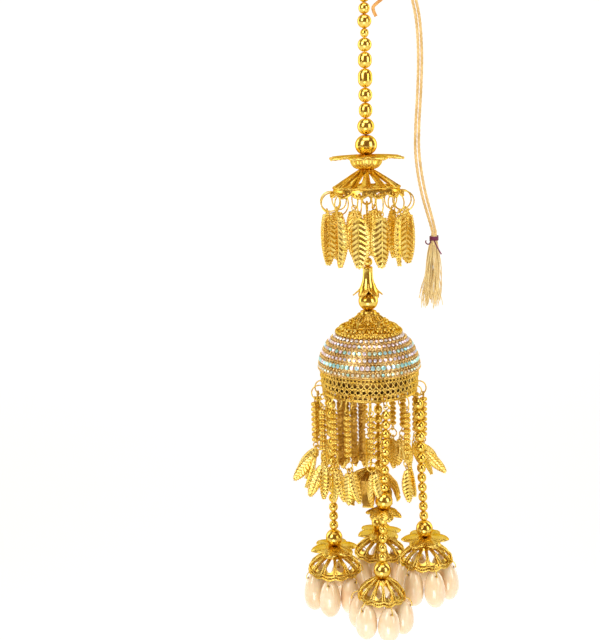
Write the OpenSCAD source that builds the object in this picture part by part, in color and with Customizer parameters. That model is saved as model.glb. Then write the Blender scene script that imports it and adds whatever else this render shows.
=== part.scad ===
/* [Hanging] */
// Height of the cord's arch above the strand of beads
hang_drop = 42; // [36:1:60]
// Diameter of one tie cord
cord_d = 1.25; // [1:0.05:1.25]
// Diameter of the core wire, the drop pin and the link's shank
wire_d = 0.9; // [0.7:0.05:1.1]
// Centre-line radius of the wire eyes
eye_r = 1.9; // [1.7:0.1:2.4]
// Length of the fringed cord end
fringe_l = 28; // [18:1:40]

/* [Strand] */
// Diameter of the strand's usual bead
strand_bead_d = 5.9; // [4:0.1:7]
// Diameter of the neck bead
neck_bead_d = 9.5; // [8:0.5:12]
// Bore of every threaded bead
bead_bore = 1.3; // [1.2:0.1:1.8]

/* [Crown] */
// Tip to tip span of the flat leaf flower
flower_span = 33; // [24:0.2:36]
// Top diameter of the fluted cup
cup_d = 13.5; // [10:0.5:16]
// Height of the fluted cup
cup_h = 5.2; // [4:0.2:8]
// Radius of the umbrella's shoulder, where its skirt begins
umbrella_r = 14.2; // [12:0.2:18]
// Height of the umbrella's cone
umbrella_h = 7.6; // [6:0.2:12]
// Depth of the umbrella's scalloped skirt
skirt_h = 3.6; // [3.2:0.2:6]
// Centre-line radius of the umbrella's jump rings
leaf_ring_r = 4.3; // [3.6:0.1:4.8]
// Length of a large leaf
leaf_l = 21.5; // [16:0.5:26]
// Width of a large leaf
leaf_w = 8.4; // [6:0.2:8.8]

/* [Drop] */
// Length of the coil-wrapped link between the middles of its eyes
link_l = 17.2; // [14:0.2:24]
// Diameter of the link's wound coil
coil_d = 3.8; // [2.5:0.1:4.5]
// Diameter of the bead above the tulip cap
centre_bead_d = 4.2; // [3:0.2:6]
// Length of the tulip cap
tulip_l = 13; // [10:0.5:18]
// Span of the tulip cap's petal tips
tulip_span = 13.3; // [11:0.1:16]
// Diameter of the ball under the tulip cap
ball_d = 8.7; // [7.5:0.1:10]

/* [Dome] */
// Largest radius of the stone-set dome
dome_r = 22.5; // [20:0.5:26]
// Height of the stone-set dome
dome_h = 15.4; // [12:0.2:20]
// Radius of the dome cap's rim
cap_r = 14.6; // [12:0.2:17]
// Height of the dome cap from neck to rim
cap_h = 10; // [8:0.2:14]
// Height of the pierced band
band_h = 10.8; // [8:0.2:12]
// Wall of the dome and the band
dome_wall = 0.9; // [0.7:0.1:1.4]
// Slots round the band, in each of its two rows
slot_count = 30; // [24:1:32]
// Span of the drooping inner flower
inner_span = 27; // [20:1:30]
// Height of the inner flower's crown above its petal tips
inner_h = 13; // [8:1:16]

/* [Bars] */
// Length of a granulated bar without its eyelets
bar_l = 20; // [14:0.5:26]
// Diameter of a bar's granules
granule_d = 3.3; // [2.4:0.1:3.6]
// Distance of the hanging bars from the axis
bar_r = 24.9; // [23.5:0.1:25.2]
// Centre-line radius of the bars' upper jump rings
bar_ring_r = 3.4; // [3:0.1:3.6]
// Centre-line radius of the lower jump rings
low_ring_r = 2; // [1.7:0.1:2.4]
// Length of a small leaf
small_leaf_l = 15; // [10:0.5:18]
// Width of a small leaf
small_leaf_w = 5; // [4:0.2:5.6]

/* [Tassels] */
// Diameter of the balls on the bead strings
tassel_ball_d = 7.7; // [6:0.1:8.6]
// Span of the leaf caps above the tassel cones
leaf_cap_span = 21; // [16:0.5:23]
// Rim radius of a tassel cone
cone_r = 11.8; // [11.4:0.1:12.6]
// Height of a tassel cone
cone_h = 8.4; // [7:0.2:11]
// Width of an ivory drop
drop_w = 9.7; // [8:0.1:10]
// Length of an ivory drop
drop_l = 18.5; // [15:0.5:21]
// Centre-line radius of the fine bail that holds each drop
bail_r = 3.8; // [3.8:0.1:4.2]

/* [Hidden] */
$fn = 48;
gold = "goldenrod";
// Ivory drops on one tassel
drop_count = 6;
// Running gap between threaded pieces, and between linked eyes
seat = 0.12;
link_gap = 0.2;
fine_wire_d = 0.6;
leaf_count = 12;
drop_wire_d = 0.45;
sheet = 0.7;

// Sum of the first n values of a list
function total(list, n) = n < 1 ? 0 : list[n - 1] + total(list, n - 1);

// Strand beads from the top: diameter and length as shares of the usual bead's diameter
strand = [
    [0.80, 0.85], [0.81, 0.80], [1.00, 0.97], [0.61, 0.64], [1.00, 0.98],
    [1.00, 1.15], [1.03, 1.34], [1.00, 1.05], [0.98, 1.10], [1.24, 1.19]
];
strand_lengths = [for (b = strand) b[1] * strand_bead_d];
neck_bead_l = 0.9 * neck_bead_d;

// Heights down the stack
top_eye_z = -hang_drop + eye_r + wire_d;
neck_z = -hang_drop - total(strand_lengths, len(strand));
flower_z = neck_z - neck_bead_l;
flower_t = 0.9;
cup_z = flower_z - flower_t;
umbrella_z = cup_z - cup_h - seat;
root_eye_z = umbrella_z - 13;

// The link hangs in the core wire's eye, and the drop pin's eye hangs in the link
hook_step = 2 * eye_r - wire_d - link_gap;
link_top_z = root_eye_z - hook_step;
link_low_z = link_top_z - link_l;
pin_eye_z = link_low_z - hook_step;
bead_top_z = pin_eye_z - eye_r - wire_d / 2 - seat;
tulip_z = bead_top_z - centre_bead_d - seat;
ball_z = tulip_z - tulip_l - 2.2;
cap_z = ball_z - ball_d / 2;
dome_z = cap_z - cap_h;
band_z = dome_z - dome_h - 2 * seat;
rim_z = band_z - band_h;
inner_z = rim_z - 38;
pin_end_z = inner_z - 1.6;

// Jump rings reach through holes just above the band's rim
hole_z = rim_z + 1.9;
hole_r = 0.85;
band_r = dome_r - 0.5;
band_low_r = dome_r - 1.5;
hole_wall_r = band_low_r + (band_r - band_low_r) * (hole_z - rim_z) / band_h - dome_wall / 2;
string_ring_r = 2.2;
ring_dip = 0.05;

// Turn round the axis, then the outward splay and the twist of each bar's leaf, in degrees
bars_at = [
    [-90, 40, 80], [-61, 28, 60], [-43, 3, -15], [-27, 0, 10], [-3, -2, 55], [36, 4, -20], [97, 40, 62],
    [117, 48, 85], [137, 20, 60], [150, 2, 0], [182, 0, 20], [206, 5, -20], [228, 12, 0], [249, 42, 80]
];
// Each string's turn round the axis, distance from it, outward lean and side lean in degrees, its tassel's own turn,
// and its cone's share of the usual rim radius
strings_at = [
    [13.5, 23.2, 0, -2, 1.5, 0.87], [82, 21.6, 2.6, 0, -9, 1],
    [165, 21, 0, 0, 15, 1], [-78, 18, 0, 0, 2, 1]
];

BEAD = 0;
BALL = 1;
LEAF_CAP = 2;
CONE = 3;
function beads(n, d, pitch) = [for (i = [1 : n]) [BEAD, d, pitch]];
tassel_ball = [[BALL, tassel_ball_d, tassel_ball_d + seat]];
mid_cap = [[LEAF_CAP, 15, 2.9]];
wide_cap = [[LEAF_CAP, leaf_cap_span, 3.4]];
cone = [[CONE, 2 * cone_r, cone_h]];
string_items = [
    concat(beads(9, 4.05, 4.1), tassel_ball, mid_cap, beads(5, 3.7, 4.4), tassel_ball, cone),
    concat(beads(6, 4.85, 5.1), beads(6, 4.05, 4.65), tassel_ball, wide_cap, cone),
    concat(beads(14, 4.1, 4.65), tassel_ball, wide_cap, cone),
    concat(beads(14, 4.1, 4.45), tassel_ball, wide_cap, cone)
];
first_item_z = -1.6;
function item_z(s, k) = first_item_z - total([for (m = string_items[s]) m[2]], k);
function last_item_z(s) = item_z(s, len(string_items[s]) - 1);

// Cord routes, chosen by hand: x and height of the middle between the two cords, then the near cord's offset in
// x and y. The cords lie one behind the other over the arch and side by side down the free leg.
route = [
    [0, -30.4, 0, -0.75], [0, -27, 0, -0.75], [-0.2, -22, 0, -0.75], [-0.7, -14, 0, -0.75], [-1.6, -6, 0, -0.75],
    [-1.5, -2, 0, -0.75], [-0.7, 0, 0, -0.75], [0.7, 0.7, 0, -0.75], [2, 0, 0, -0.75], [3.1, -2, 0, -0.75],
    [6, -8, 0.1, -0.75], [10, -17, 0.3, -0.7], [14.5, -28, 0.5, -0.6], [18.4, -38, 0.65, -0.4],
    [20.6, -45.4, 0.75, -0.2], [22.4, -54, 0.75, 0], [23.2, -64, 0.75, 0], [23.3, -74, 0.75, 0],
    [22.8, -86, 0.75, 0], [22.1, -98, 0.75, 0], [22, -109, 0.8, 0], [23.3, -120, 0.85, 0],
    [25.2, -129, 0.85, 0], [27.4, -137, 0.78, 0], [28.6, -141.5, 0.68, 0], [29.2, -144, 0.64, 0],
    [29.2, -145.5, 0.64, 0]
];
tie_x = 29.2;
tie_z = -145.5;
knot_tail = [
    [1, -2, -31], [4.5, -2.6, -36.2], [8, -2.2, -40], [9, -1.8, -43.4], [7.6, -1.6, -45.8], [5.4, -1.6, -47.6],
    [3.7, -1.6, -49.2], [3.9, -1.7, -51], [4.8, -1.9, -53]
];
curl = [
    [27.6, -1.9, -148], [26.8, -2.3, -148.9], [25.9, -2.2, -148.9], [25.3, -1.9, -148.2], [25.5, -1.6, -147.4]
];
thread_tail = [[29, -2.1, -147.6], [29.8, -2.4, -149.4], [30.8, -2.4, -151.4], [32.1, -2.2, -153.6]];

// Unit vectors and a tube swept through points, with a radius for each point
function unit(v) = v / norm(v);
function heading(p, i) = unit(p[min(i + 1, len(p) - 1)] - p[max(i - 1, 0)]);

module tube(points, radii, sides) {
    across = [for (i = [0 : len(points) - 1]) unit(cross(heading(points, i), [0.02, 1, 0.03]))];
    rings = [
        for (i = [0 : len(points) - 1], k = [0 : sides - 1])
            let (side = across[i], up = cross(side, heading(points, i)), a = 360 * k / sides)
            points[i] + radii[i] * (cos(a) * side + sin(a) * up)
    ];
    walls = [
        for (i = [0 : len(points) - 2], k = [0 : sides - 1])
            let (a = i * sides + k, b = i * sides + (k + 1) % sides)
            [a, b, b + sides, a + sides]
    ];
    last = (len(points) - 1) * sides;
    ends = [[for (k = [sides - 1 : -1 : 0]) k], [for (k = [0 : sides - 1]) last + k]];
    polyhedron(rings, concat(walls, ends), convexity = 8);
}

function even(n, r) = [for (i = [1 : n]) r];

// A ring of round wire about the Z axis
module ring(r, wire) {
    rotate_extrude() translate([r, 0]) circle(d = wire);
}

// The same ring seen face-on along Y, and edge-on with its axis along X
module ring_y(r, wire) {
    rotate([90, 0, 0]) ring(r, wire);
}

module ring_x(r, wire) {
    rotate([0, 90, 0]) ring(r, wire);
}

// A drilled bead with round sides, between z = 0 and z = -l: an oval one has two half balls and a waist
module bead(d, l, bore = bead_bore) {
    bow_r = l > d ? d / 2 : (l * l + d * d) / (4 * d);
    half_waist = max(0, (l - d) / 2);
    translate([0, 0, -l / 2]) rotate_extrude() intersection() {
        union() {
            for (side = [-1, 1]) translate([d / 2 - bow_r, side * half_waist]) circle(r = bow_r, $fn = 64);
            if (half_waist > 0) translate([0, -half_waist]) square([d / 2, 2 * half_waist]);
        }
        translate([bore / 2, -l / 2 + seat / 2]) square([d, l - seat]);
    }
}

// A leaf's outline hanging from the origin: two long arcs, a round head and a smaller round tip
module leaf_outline(l, w) {
    long = 1.18 * l;
    arc_r = (long * long + w * w) / (4 * w);
    head_r = 0.36 * w;
    tip_r = 0.2 * w;
    intersection() {
        translate([arc_r - w / 2, -0.46 * l]) circle(r = arc_r, $fn = 128);
        translate([w / 2 - arc_r, -0.46 * l]) circle(r = arc_r, $fn = 128);
        union() {
            translate([0, -head_r]) circle(r = head_r);
            translate([-w, tip_r - l]) square([2 * w, l - head_r - tip_r]);
            translate([0, tip_r - l]) circle(r = tip_r);
        }
    }
}

// A cupped leaf with a raised midrib, bulging along +Y below its head at the origin
module leaf_body(l, w, bulge_r, t) {
    intersection() {
        rotate([90, 0, 0]) linear_extrude(4 * t, center = true) leaf_outline(l, w);
        translate([0, t / 2 - bulge_r, -l - 1]) difference() {
            cylinder(r = bulge_r, h = l + 2);
            translate([0, 0, -1]) cylinder(r = bulge_r - t, h = l + 4);
        }
    }
    translate([0, t / 2, -0.94 * l]) cylinder(d = t, h = 0.9 * l);
}

// Pointed petals round the Z axis, cut from a shallow round dish with its rim drop below its middle
module petals(n, span, hub_d, bore, t, drop) {
    dish_r = (span * span / 4 + drop * drop) / (2 * drop);
    petal_l = span / 2 - hub_d / 4;
    petal_w = 2 * span / n;
    difference() {
        intersection() {
            translate([0, 0, -dish_r]) difference() {
                sphere(r = dish_r, $fn = 96);
                sphere(r = dish_r - t, $fn = 96);
            }
            translate([0, 0, -drop - 2 * t]) linear_extrude(drop + 3 * t) union() {
                circle(d = hub_d);
                for (i = [0 : n - 1]) rotate((i + 0.5) * 360 / n)
                    translate([0, span / 2]) petal_outline(petal_l, petal_w);
            }
        }
        translate([0, 0, -drop - 4]) cylinder(d = bore, h = drop + 8);
    }
}

// A petal's outline with its tip at the origin, pointed at both ends
module petal_outline(l, w) {
    arc_r = (l * l + w * w) / (4 * w);
    intersection() {
        translate([arc_r - w / 2, -l / 2]) circle(r = arc_r, $fn = 96);
        translate([w / 2 - arc_r, -l / 2]) circle(r = arc_r, $fn = 96);
    }
}

// Tie cords, knot, maroon thread and fringe
module cord(side) {
    line = [for (p = route) [p[0] + side * p[2], side * p[3], p[1]]];
    tube(line, even(len(line), cord_d / 2), 8);
}

module cord_near() {
    color("burlywood") cord(1);
}

module cord_far() {
    color("burlywood") cord(-1);
}

module binding_knot() {
    knot_r = 2.6;
    loop_r = 2.2;
    loop_z = top_eye_z + eye_r - wire_d / 2 - link_gap - cord_d / 2 + loop_r;
    knot_z = route[0][1] - 0.65 * knot_r;
    color("chocolate") union() {
        translate([0, 0, loop_z]) ring_x(loop_r, cord_d);
        difference() {
            translate([0, 0, knot_z]) sphere(r = knot_r);
            translate([-5, -5, route[0][1]]) cube([10, 10, 5]);
        }
        translate([0, 0, loop_z + loop_r - 0.3]) cylinder(r = 1.3, h = knot_z - loop_z - loop_r + 0.4);
        tube(knot_tail, even(len(knot_tail), 0.75), 8);
    }
}

module tie_thread() {
    wrap_r = 1.75;
    thread_d = 0.6;
    color("maroon") {
        translate([tie_x, 0, tie_z]) rotate_extrude() union() {
            for (z = [-0.5, -1.05, -1.6, -2.15]) translate([wrap_r, z]) circle(d = thread_d);
            translate([wrap_r - 0.2, -2.15]) square([0.4, 1.65]);
        }
        tube(curl, even(len(curl), thread_d / 2), 6);
        tube(thread_tail, even(len(thread_tail), thread_d / 2), 6);
    }
}

module cord_fringe() {
    head_r = 1.38;
    head_h = 3;
    locks = 12;
    color("wheat") translate([tie_x, 0, tie_z]) union() {
        translate([0, 0, -head_h]) cylinder(r = head_r, h = head_h);
        for (i = [0 : locks - 1]) {
            a = i * 360 / locks + 10 * (i % 3);
            in_r = i % 2 == 0 ? 0.8 : 0.5;
            out_r = i % 2 == 0 ? 3.6 : 2.3;
            foot = [-0.9 + out_r * cos(a), 0.8 * out_r * sin(a), -fringe_l + 1.1 * (i % 4)];
            start = [in_r * cos(a), in_r * sin(a), 0.6 - head_h];
            lock = [
                for (t = [0, 0.2, 0.45, 0.75, 1])
                    [start[0] + (foot[0] - start[0]) * t * (1.5 - t / 2), start[1] + (foot[1] - start[1]) * t,
                     start[2] + (foot[2] - start[2]) * t]
            ];
            tube(lock, [0.5, 0.72, 0.92, 0.9, 0.5], 6);
        }
    }
}

// The core wire: an eye at the top for the knot, and an eye inside the umbrella for the link
module core_wire() {
    color(gold) union() {
        translate([0, 0, top_eye_z]) ring_y(eye_r, wire_d);
        translate([0, 0, root_eye_z]) ring_y(eye_r, wire_d);
        translate([0, 0, root_eye_z + eye_r]) cylinder(d = wire_d, h = top_eye_z - root_eye_z - 2 * eye_r);
    }
}

module strand_beads() {
    color(gold) for (i = [0 : len(strand) - 1])
        translate([0, 0, -hang_drop - total(strand_lengths, i)])
            bead(strand[i][0] * strand_bead_d, strand_lengths[i]);
}

module neck_bead() {
    color(gold) translate([0, 0, neck_z]) bead(neck_bead_d, neck_bead_l);
}

module leaf_flower() {
    color(gold) translate([0, 0, flower_z]) petals(8, flower_span, 7, bead_bore, sheet, 0.9);
}

// A bowl-shaped cup with narrow flutes cut down its bowed side
module fluted_cup() {
    flutes = 14;
    flute_w = 0.7;
    flute_in = 0.4;
    color(gold) translate([0, 0, cup_z - cup_h]) difference() {
        bowl(0, bead_bore / 2, 0);
        difference() {
            for (i = [0 : flutes - 1]) rotate((i + 0.5) * 360 / flutes)
                translate([2.6, -flute_w / 2, -1]) cube([cup_d / 2, flute_w, cup_h + 2]);
            bowl(flute_in, 0, 1);
        }
    }
}

// The cup's solid, its side brought in by less and its ends moved out by more
module bowl(less, bore_r, more) {
    low_r = 2.8;
    out = cup_d / 2 - low_r;
    bow_r = (out * out + cup_h * cup_h) / (2 * out);
    rotate_extrude() intersection() {
        translate([cup_d / 2 - bow_r, cup_h - seat]) circle(r = bow_r - less, $fn = 96);
        translate([bore_r, -more]) square([cup_d, cup_h - seat + 2 * more]);
    }
}

// Ribbed umbrella: a cone with windows between its ribs, over a scalloped skirt with a hole in each lobe
skirt_out = 1.7;
lobe_hole_z = -umbrella_h - 0.5 * skirt_h;
lobe_hole_r = umbrella_r + 0.5 * skirt_out - sheet / 2;

module umbrella() {
    crown_r = 3.1;
    foot_z = -umbrella_h - skirt_h;
    color(gold) translate([0, 0, umbrella_z]) difference() {
        rotate_extrude() polygon([
            [bead_bore / 2, 0], [crown_r, 0], [umbrella_r, -umbrella_h], [umbrella_r + skirt_out, foot_z],
            [umbrella_r + skirt_out - sheet, foot_z], [umbrella_r - sheet, -umbrella_h - 0.4],
            [crown_r - 0.4, -1.1], [bead_bore / 2, -1.1]
        ]);
        for (i = [0 : leaf_count - 1]) rotate((i + 0.5) * 360 / leaf_count) {
            translate([0, 0, foot_z + 1.2]) linear_extrude(umbrella_h + skirt_h) rib_window();
            translate([0.8 * umbrella_r, 0, lobe_hole_z]) rotate([0, 90, 0])
                cylinder(r = hole_r, h = 0.5 * umbrella_r);
            rotate(180 / leaf_count) translate([0.8 * umbrella_r, 0, foot_z - 0.3]) rotate([0, 90, 0])
                cylinder(r = 0.5 * skirt_h, h = 0.5 * umbrella_r);
        }
    }
}

module rib_window() {
    near = 0.27 * umbrella_r;
    far = 0.79 * umbrella_r;
    half = 0.14 * umbrella_r;
    union() {
        polygon([[near, -0.25], [far, -half], [far, half], [near, 0.25]]);
        translate([far, 0]) circle(r = half);
    }
}

// Ring leaning out from its hole so that the leaves clear one another
leaf_lean = 22;
leaf_hang_r = lobe_hole_r + 2 * leaf_ring_r * sin(leaf_lean);
leaf_hang_z = umbrella_z + lobe_hole_z - 0.2 - 2 * leaf_ring_r * cos(leaf_lean);
// Turn of each large leaf below its eyelet, in degrees
leaf_turns = [-64, -22, 10, 4, -10, 62, -60, -16, -4, 10, 26, 58];

module leaf_rings() {
    color(gold) for (i = [0 : leaf_count - 1]) rotate((i + 0.5) * 360 / leaf_count)
        translate([lobe_hole_r, 0, umbrella_z + lobe_hole_z - 0.2]) rotate([0, -leaf_lean, 0])
            translate([0, 0, -leaf_ring_r]) ring_y(leaf_ring_r, fine_wire_d);
}

module leaf(i) {
    eyelet_r = 1.05;
    color(gold) rotate((i + 0.5) * 360 / leaf_count - 90)
        translate([0, leaf_hang_r, leaf_hang_z - eyelet_r + 0.78]) {
            ring_y(eyelet_r, fine_wire_d);
            rotate(leaf_turns[i]) translate([0, 0, -eyelet_r + 0.1]) leaf_body(leaf_l, leaf_w, 9, 0.8);
        }
}

// The coil-wrapped link, an eye at each end
module coil_link() {
    turns = floor((link_l - 2 * eye_r - 3) / 1.1);
    coil_z = (link_top_z + link_low_z) / 2;
    color(gold) union() {
        translate([0, 0, link_top_z]) ring_x(eye_r, wire_d);
        translate([0, 0, link_low_z]) ring_x(eye_r, wire_d);
        translate([0, 0, link_low_z + eye_r]) cylinder(d = wire_d, h = link_l - 2 * eye_r);
        translate([0, 0, coil_z - turns * 0.55]) cylinder(d = coil_d - 1, h = turns * 1.1);
        for (i = [0 : turns - 1]) translate([0, 0, coil_z + (i - turns / 2 + 0.5) * 1.1])
            ring(coil_d / 2 - 0.6, 1.2);
    }
}

// The drop pin: an eye in the link, a shank down through the dome and a round end under the inner flower
module drop_pin() {
    color(gold) union() {
        translate([0, 0, pin_eye_z]) ring_y(eye_r, wire_d);
        translate([0, 0, pin_end_z]) cylinder(d = wire_d, h = pin_eye_z - eye_r - pin_end_z);
        translate([0, 0, pin_end_z - 0.8]) sphere(r = 1.1);
    }
}

module centre_bead() {
    color(gold) translate([0, 0, bead_top_z]) bead(centre_bead_d, centre_bead_d);
}

// A long bell of five petals that flare at their tips, with a slit between each pair
module tulip_cap() {
    petal_count = 5;
    neck_r = 2.1;
    tip_r = tulip_span / 2;
    wall = 0.6;
    outer = [[neck_r, 0], [neck_r + 0.3, -0.42], [0.48 * tip_r, -0.62], [0.66 * tip_r, -0.8], [tip_r, -1]];
    color(gold) translate([0, 0, tulip_z]) difference() {
        rotate_extrude() polygon(concat(
            [[bead_bore / 2, 0], [neck_r, 0]],
            [for (p = outer) if (p[1] < 0) [p[0], p[1] * tulip_l]],
            [for (i = [len(outer) - 1 : -1 : 1]) [outer[i][0] - wall, outer[i][1] * tulip_l - 0.1]],
            [[neck_r - wall, -0.8], [bead_bore / 2, -0.8]]
        ));
        for (i = [0 : petal_count - 1]) rotate(i * 360 / petal_count + 54) {
            translate([0, -0.25, -0.5 * tulip_l]) cube([neck_r + 2, 0.5, 0.4 * tulip_l]);
            rotate([90, 0, 90]) linear_extrude(tulip_span) polygon([
                [0, -0.72 * tulip_l], [0.36 * tip_r, -1.02 * tulip_l], [-0.36 * tip_r, -1.02 * tulip_l]
            ]);
        }
    }
}

module drop_ball() {
    color(gold) translate([0, 0, ball_z + ball_d / 2]) bead(ball_d, ball_d);
}

// Dome cap: a soldered shell with raised rings and a wreath of round bosses
cap_shares = [[0.213, 0], [0.213, -0.18], [0.36, -0.3], [0.58, -0.47], [0.76, -0.64], [0.93, -0.84], [1, -1]];

module dome_cap() {
    bosses = 12;
    color(gold) translate([0, 0, cap_z]) union() {
        difference() {
            rotate_extrude() polygon(concat(
                [[bead_bore / 2, 0]],
                [for (p = cap_shares) [p[0] * cap_r, p[1] * cap_h]],
                [for (i = [len(cap_shares) - 1 : -1 : 2])
                    [cap_shares[i][0] * cap_r - 1.1, cap_shares[i][1] * cap_h - (i == len(cap_shares) - 1 ? 0 : 0.5)]],
                [[bead_bore / 2, -0.3 * cap_h]]
            ));
            translate([0, 0, -cap_h - 1]) cylinder(d = bead_bore, h = cap_h + 2);
        }
        for (p = [[0.36, -0.3], [0.76, -0.64]]) translate([0, 0, p[1] * cap_h]) ring(p[0] * cap_r - 0.1, 0.9);
        translate([0, 0, -cap_h + 0.6]) ring(cap_r - 0.4, 1.1);
        for (i = [0 : bosses - 1]) rotate(i * 360 / bosses)
            translate([0.85 * cap_r, 0, -0.74 * cap_h]) sphere(d = 1.8);
    }
}

// Points of the dome's outer wall: share of the height below the cap, and radius between the cap's and the dome's
dome_shares = [[0, 0], [0.11, 0.25], [0.25, 0.51], [0.43, 0.7], [0.6, 0.85], [0.83, 0.96], [1, 1]];
dome_top_r = cap_r - 0.6;

function dome_point(s) = [dome_top_r + s[1] * (dome_r - dome_top_r), -s[0] * dome_h];

// Stone-set dome: a shell with a raised wire above and below each row of stones
module stone_dome() {
    points = [for (s = dome_shares) dome_point(s)];
    color("lightsteelblue") translate([0, 0, dome_z - seat]) union() {
        rotate_extrude() polygon(concat(
            points, [for (i = [len(points) - 1 : -1 : 0]) points[i] - [dome_wall, i % (len(points) - 1) == 0 ? 0 : 0.2]]
        ));
        for (i = [1 : len(points) - 2]) translate([0, 0, points[i][1]]) ring(points[i][0] - 0.15, 0.7);
        translate([0, 0, -dome_h + 0.45]) ring(dome_r - 0.2, 0.8);
    }
}

// Pierced band: two rows of slots, a row of ring holes and a double wire rim
module pierced_band() {
    slot_w = 1.15;
    upper_h = 2;
    lower_h = 1.7;
    color(gold) translate([0, 0, rim_z]) difference() {
        union() {
            rotate_extrude() polygon([
                [band_low_r - dome_wall, 0], [band_low_r, 0], [band_r, band_h], [band_r - dome_wall, band_h]
            ]);
            translate([0, 0, 0.4]) ring(band_low_r - 0.3, 0.9);
            translate([0, 0, 0.52 * band_h]) ring((band_low_r + band_r) / 2, 0.8);
            translate([0, 0, band_h - 0.5]) ring(band_r - 0.2, 0.8);
        }
        for (i = [0 : slot_count - 1]) rotate((i + 0.5) * 360 / slot_count) {
            translate([band_low_r - 3, -slot_w / 2, 0.62 * band_h]) cube([6, slot_w, upper_h]);
            translate([band_low_r - 3, -slot_w / 2, 0.46 * band_h - lower_h]) cube([6, slot_w, lower_h]);
        }
        for (b = concat(bars_at, strings_at)) rotate(b[0] - 90) translate([band_low_r - 3, 0, hole_z - rim_z])
            rotate([0, 90, 0]) cylinder(r = hole_r, h = 6);
    }
}

// Granulated strings under a disc inside the band: each one's distance right of the pin and behind it
inner_strings_at = [[-13.4, 2], [-10.5, 6.4], [-7, 9.8], [-7.1, 2.8], [-3.4, 6.6]];

module inner_strings() {
    disc_r = 15.4;
    disc_z = rim_z + 6;
    inner_granule_d = 3;
    count = 14;
    string_l = disc_z - inner_z - 1.6;
    pitch = (string_l - inner_granule_d) / (count - 1);
    color("darkgoldenrod") translate([0, 0, disc_z]) union() {
        difference() {
            cylinder(r = disc_r, h = sheet);
            translate([0, 0, -1]) cylinder(d = bead_bore, h = 3);
        }
        for (p = inner_strings_at) translate([p[0], p[1], 0]) {
            for (i = [0 : count - 1]) translate([0, 0, -inner_granule_d / 2 - i * pitch]) sphere(d = inner_granule_d);
            translate([0, 0, 1 - string_l]) cylinder(d = 0.72 * inner_granule_d, h = string_l - 0.8);
        }
    }
}

// The drooping inner flower on the pin's end: a bell cut into petals
module inner_flower() {
    petal_count = 9;
    tip_r = inner_span / 2;
    color("darkgoldenrod") translate([0, 0, inner_z]) difference() {
        rotate_extrude() polygon([
            [bead_bore / 2, 0], [0.2 * tip_r, 0], [0.62 * tip_r, -0.22 * inner_h], [0.92 * tip_r, -0.6 * inner_h],
            [tip_r, -inner_h], [tip_r - sheet, -inner_h], [0.92 * tip_r - sheet, -0.6 * inner_h],
            [0.62 * tip_r - 0.3, -0.22 * inner_h - 0.6], [0.2 * tip_r, -0.75], [bead_bore / 2, -0.75]
        ]);
        for (i = [0 : petal_count - 1]) rotate(i * 360 / petal_count) rotate([90, 0, 90])
            linear_extrude(inner_span) polygon([
                [0, -0.42 * inner_h], [0.19 * tip_r, -1.02 * inner_h], [-0.19 * tip_r, -1.02 * inner_h]
            ]);
    }
}

// Places its children at a jump ring's foot: turn and distance from the axis of what hangs there
module at_foot(turn, hang_r, ring_r) {
    rotate(turn - 90) translate([hang_r, 0, foot_of(hang_r, ring_r)]) children();
}

function lean_of(hang_r, ring_r) = asin((hang_r - hole_wall_r) / (2 * ring_r));
function foot_of(hang_r, ring_r) = hole_z - ring_dip - 2 * ring_r * cos(lean_of(hang_r, ring_r));

module rim_ring(turn, hang_r, ring_r) {
    rotate(turn - 90) translate([hole_wall_r, 0, hole_z - ring_dip]) rotate([0, -lean_of(hang_r, ring_r), 0])
        translate([0, 0, -ring_r]) ring_y(ring_r, fine_wire_d);
}

module bar_rings() {
    color(gold) for (b = bars_at) rim_ring(b[0], bar_r, bar_ring_r);
}

eyelet_r = 1.1;
granules = 8;
bar_eye_drop = eyelet_r - 0.96;
bar_foot_z = -bar_eye_drop - eyelet_r - bar_l - eyelet_r + 0.4;

module bars() {
    pitch = (bar_l - granule_d) / (granules - 1);
    color(gold) for (b = bars_at) at_foot(b[0], bar_r, bar_ring_r) union() {
        translate([0, 0, -bar_eye_drop]) ring_x(eyelet_r, fine_wire_d);
        for (i = [0 : granules - 1])
            translate([0, 0, -bar_eye_drop - eyelet_r + 0.2 - granule_d / 2 - i * pitch]) sphere(d = granule_d);
        translate([0, 0, bar_foot_z + eyelet_r]) cylinder(d = 0.72 * granule_d, h = bar_l);
        translate([0, 0, bar_foot_z]) ring_y(eyelet_r, fine_wire_d);
    }
}

low_ring_z = bar_foot_z - eyelet_r - low_ring_r + fine_wire_d + 0.12;

module low_rings() {
    color(gold) for (b = bars_at) at_foot(b[0], bar_r, bar_ring_r)
        translate([0, 0, low_ring_z]) ring_x(low_ring_r, fine_wire_d);
}

module small_leaves() {
    color(gold) for (b = bars_at) at_foot(b[0], bar_r, bar_ring_r)
        translate([0, 0, low_ring_z - low_ring_r]) rotate([0, -b[1], 0])
            translate([0, 0, -eyelet_r + fine_wire_d + 0.12]) union() {
                ring_y(eyelet_r, fine_wire_d);
                rotate(b[2] - 90) translate([0, 0, -eyelet_r + 0.1]) leaf_body(small_leaf_l, small_leaf_w, 6, 0.7);
            }
}

// Places its children at the top of string s, with its leans
module on_string(s) {
    p = strings_at[s];
    at_foot(p[0], p[1], string_ring_r) rotate([0, -p[2], 0]) rotate([p[3], 0, 0]) children();
}

module string_rings() {
    color(gold) for (p = strings_at) rim_ring(p[0], p[1], string_ring_r);
}

string_wire_d = 0.7;
string_eye_r = 1.1;
string_eye_z = -0.165;

module string_wires() {
    color(gold) for (s = [0 : len(strings_at) - 1]) on_string(s) union() {
        end_z = last_item_z(s) - 2.4;
        translate([0, 0, string_eye_z]) ring_x(string_eye_r, 0.55);
        translate([0, 0, end_z]) cylinder(d = string_wire_d, h = string_eye_z - string_eye_r - end_z);
        translate([0, 0, end_z - 0.6]) sphere(r = 0.95);
    }
}

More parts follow.
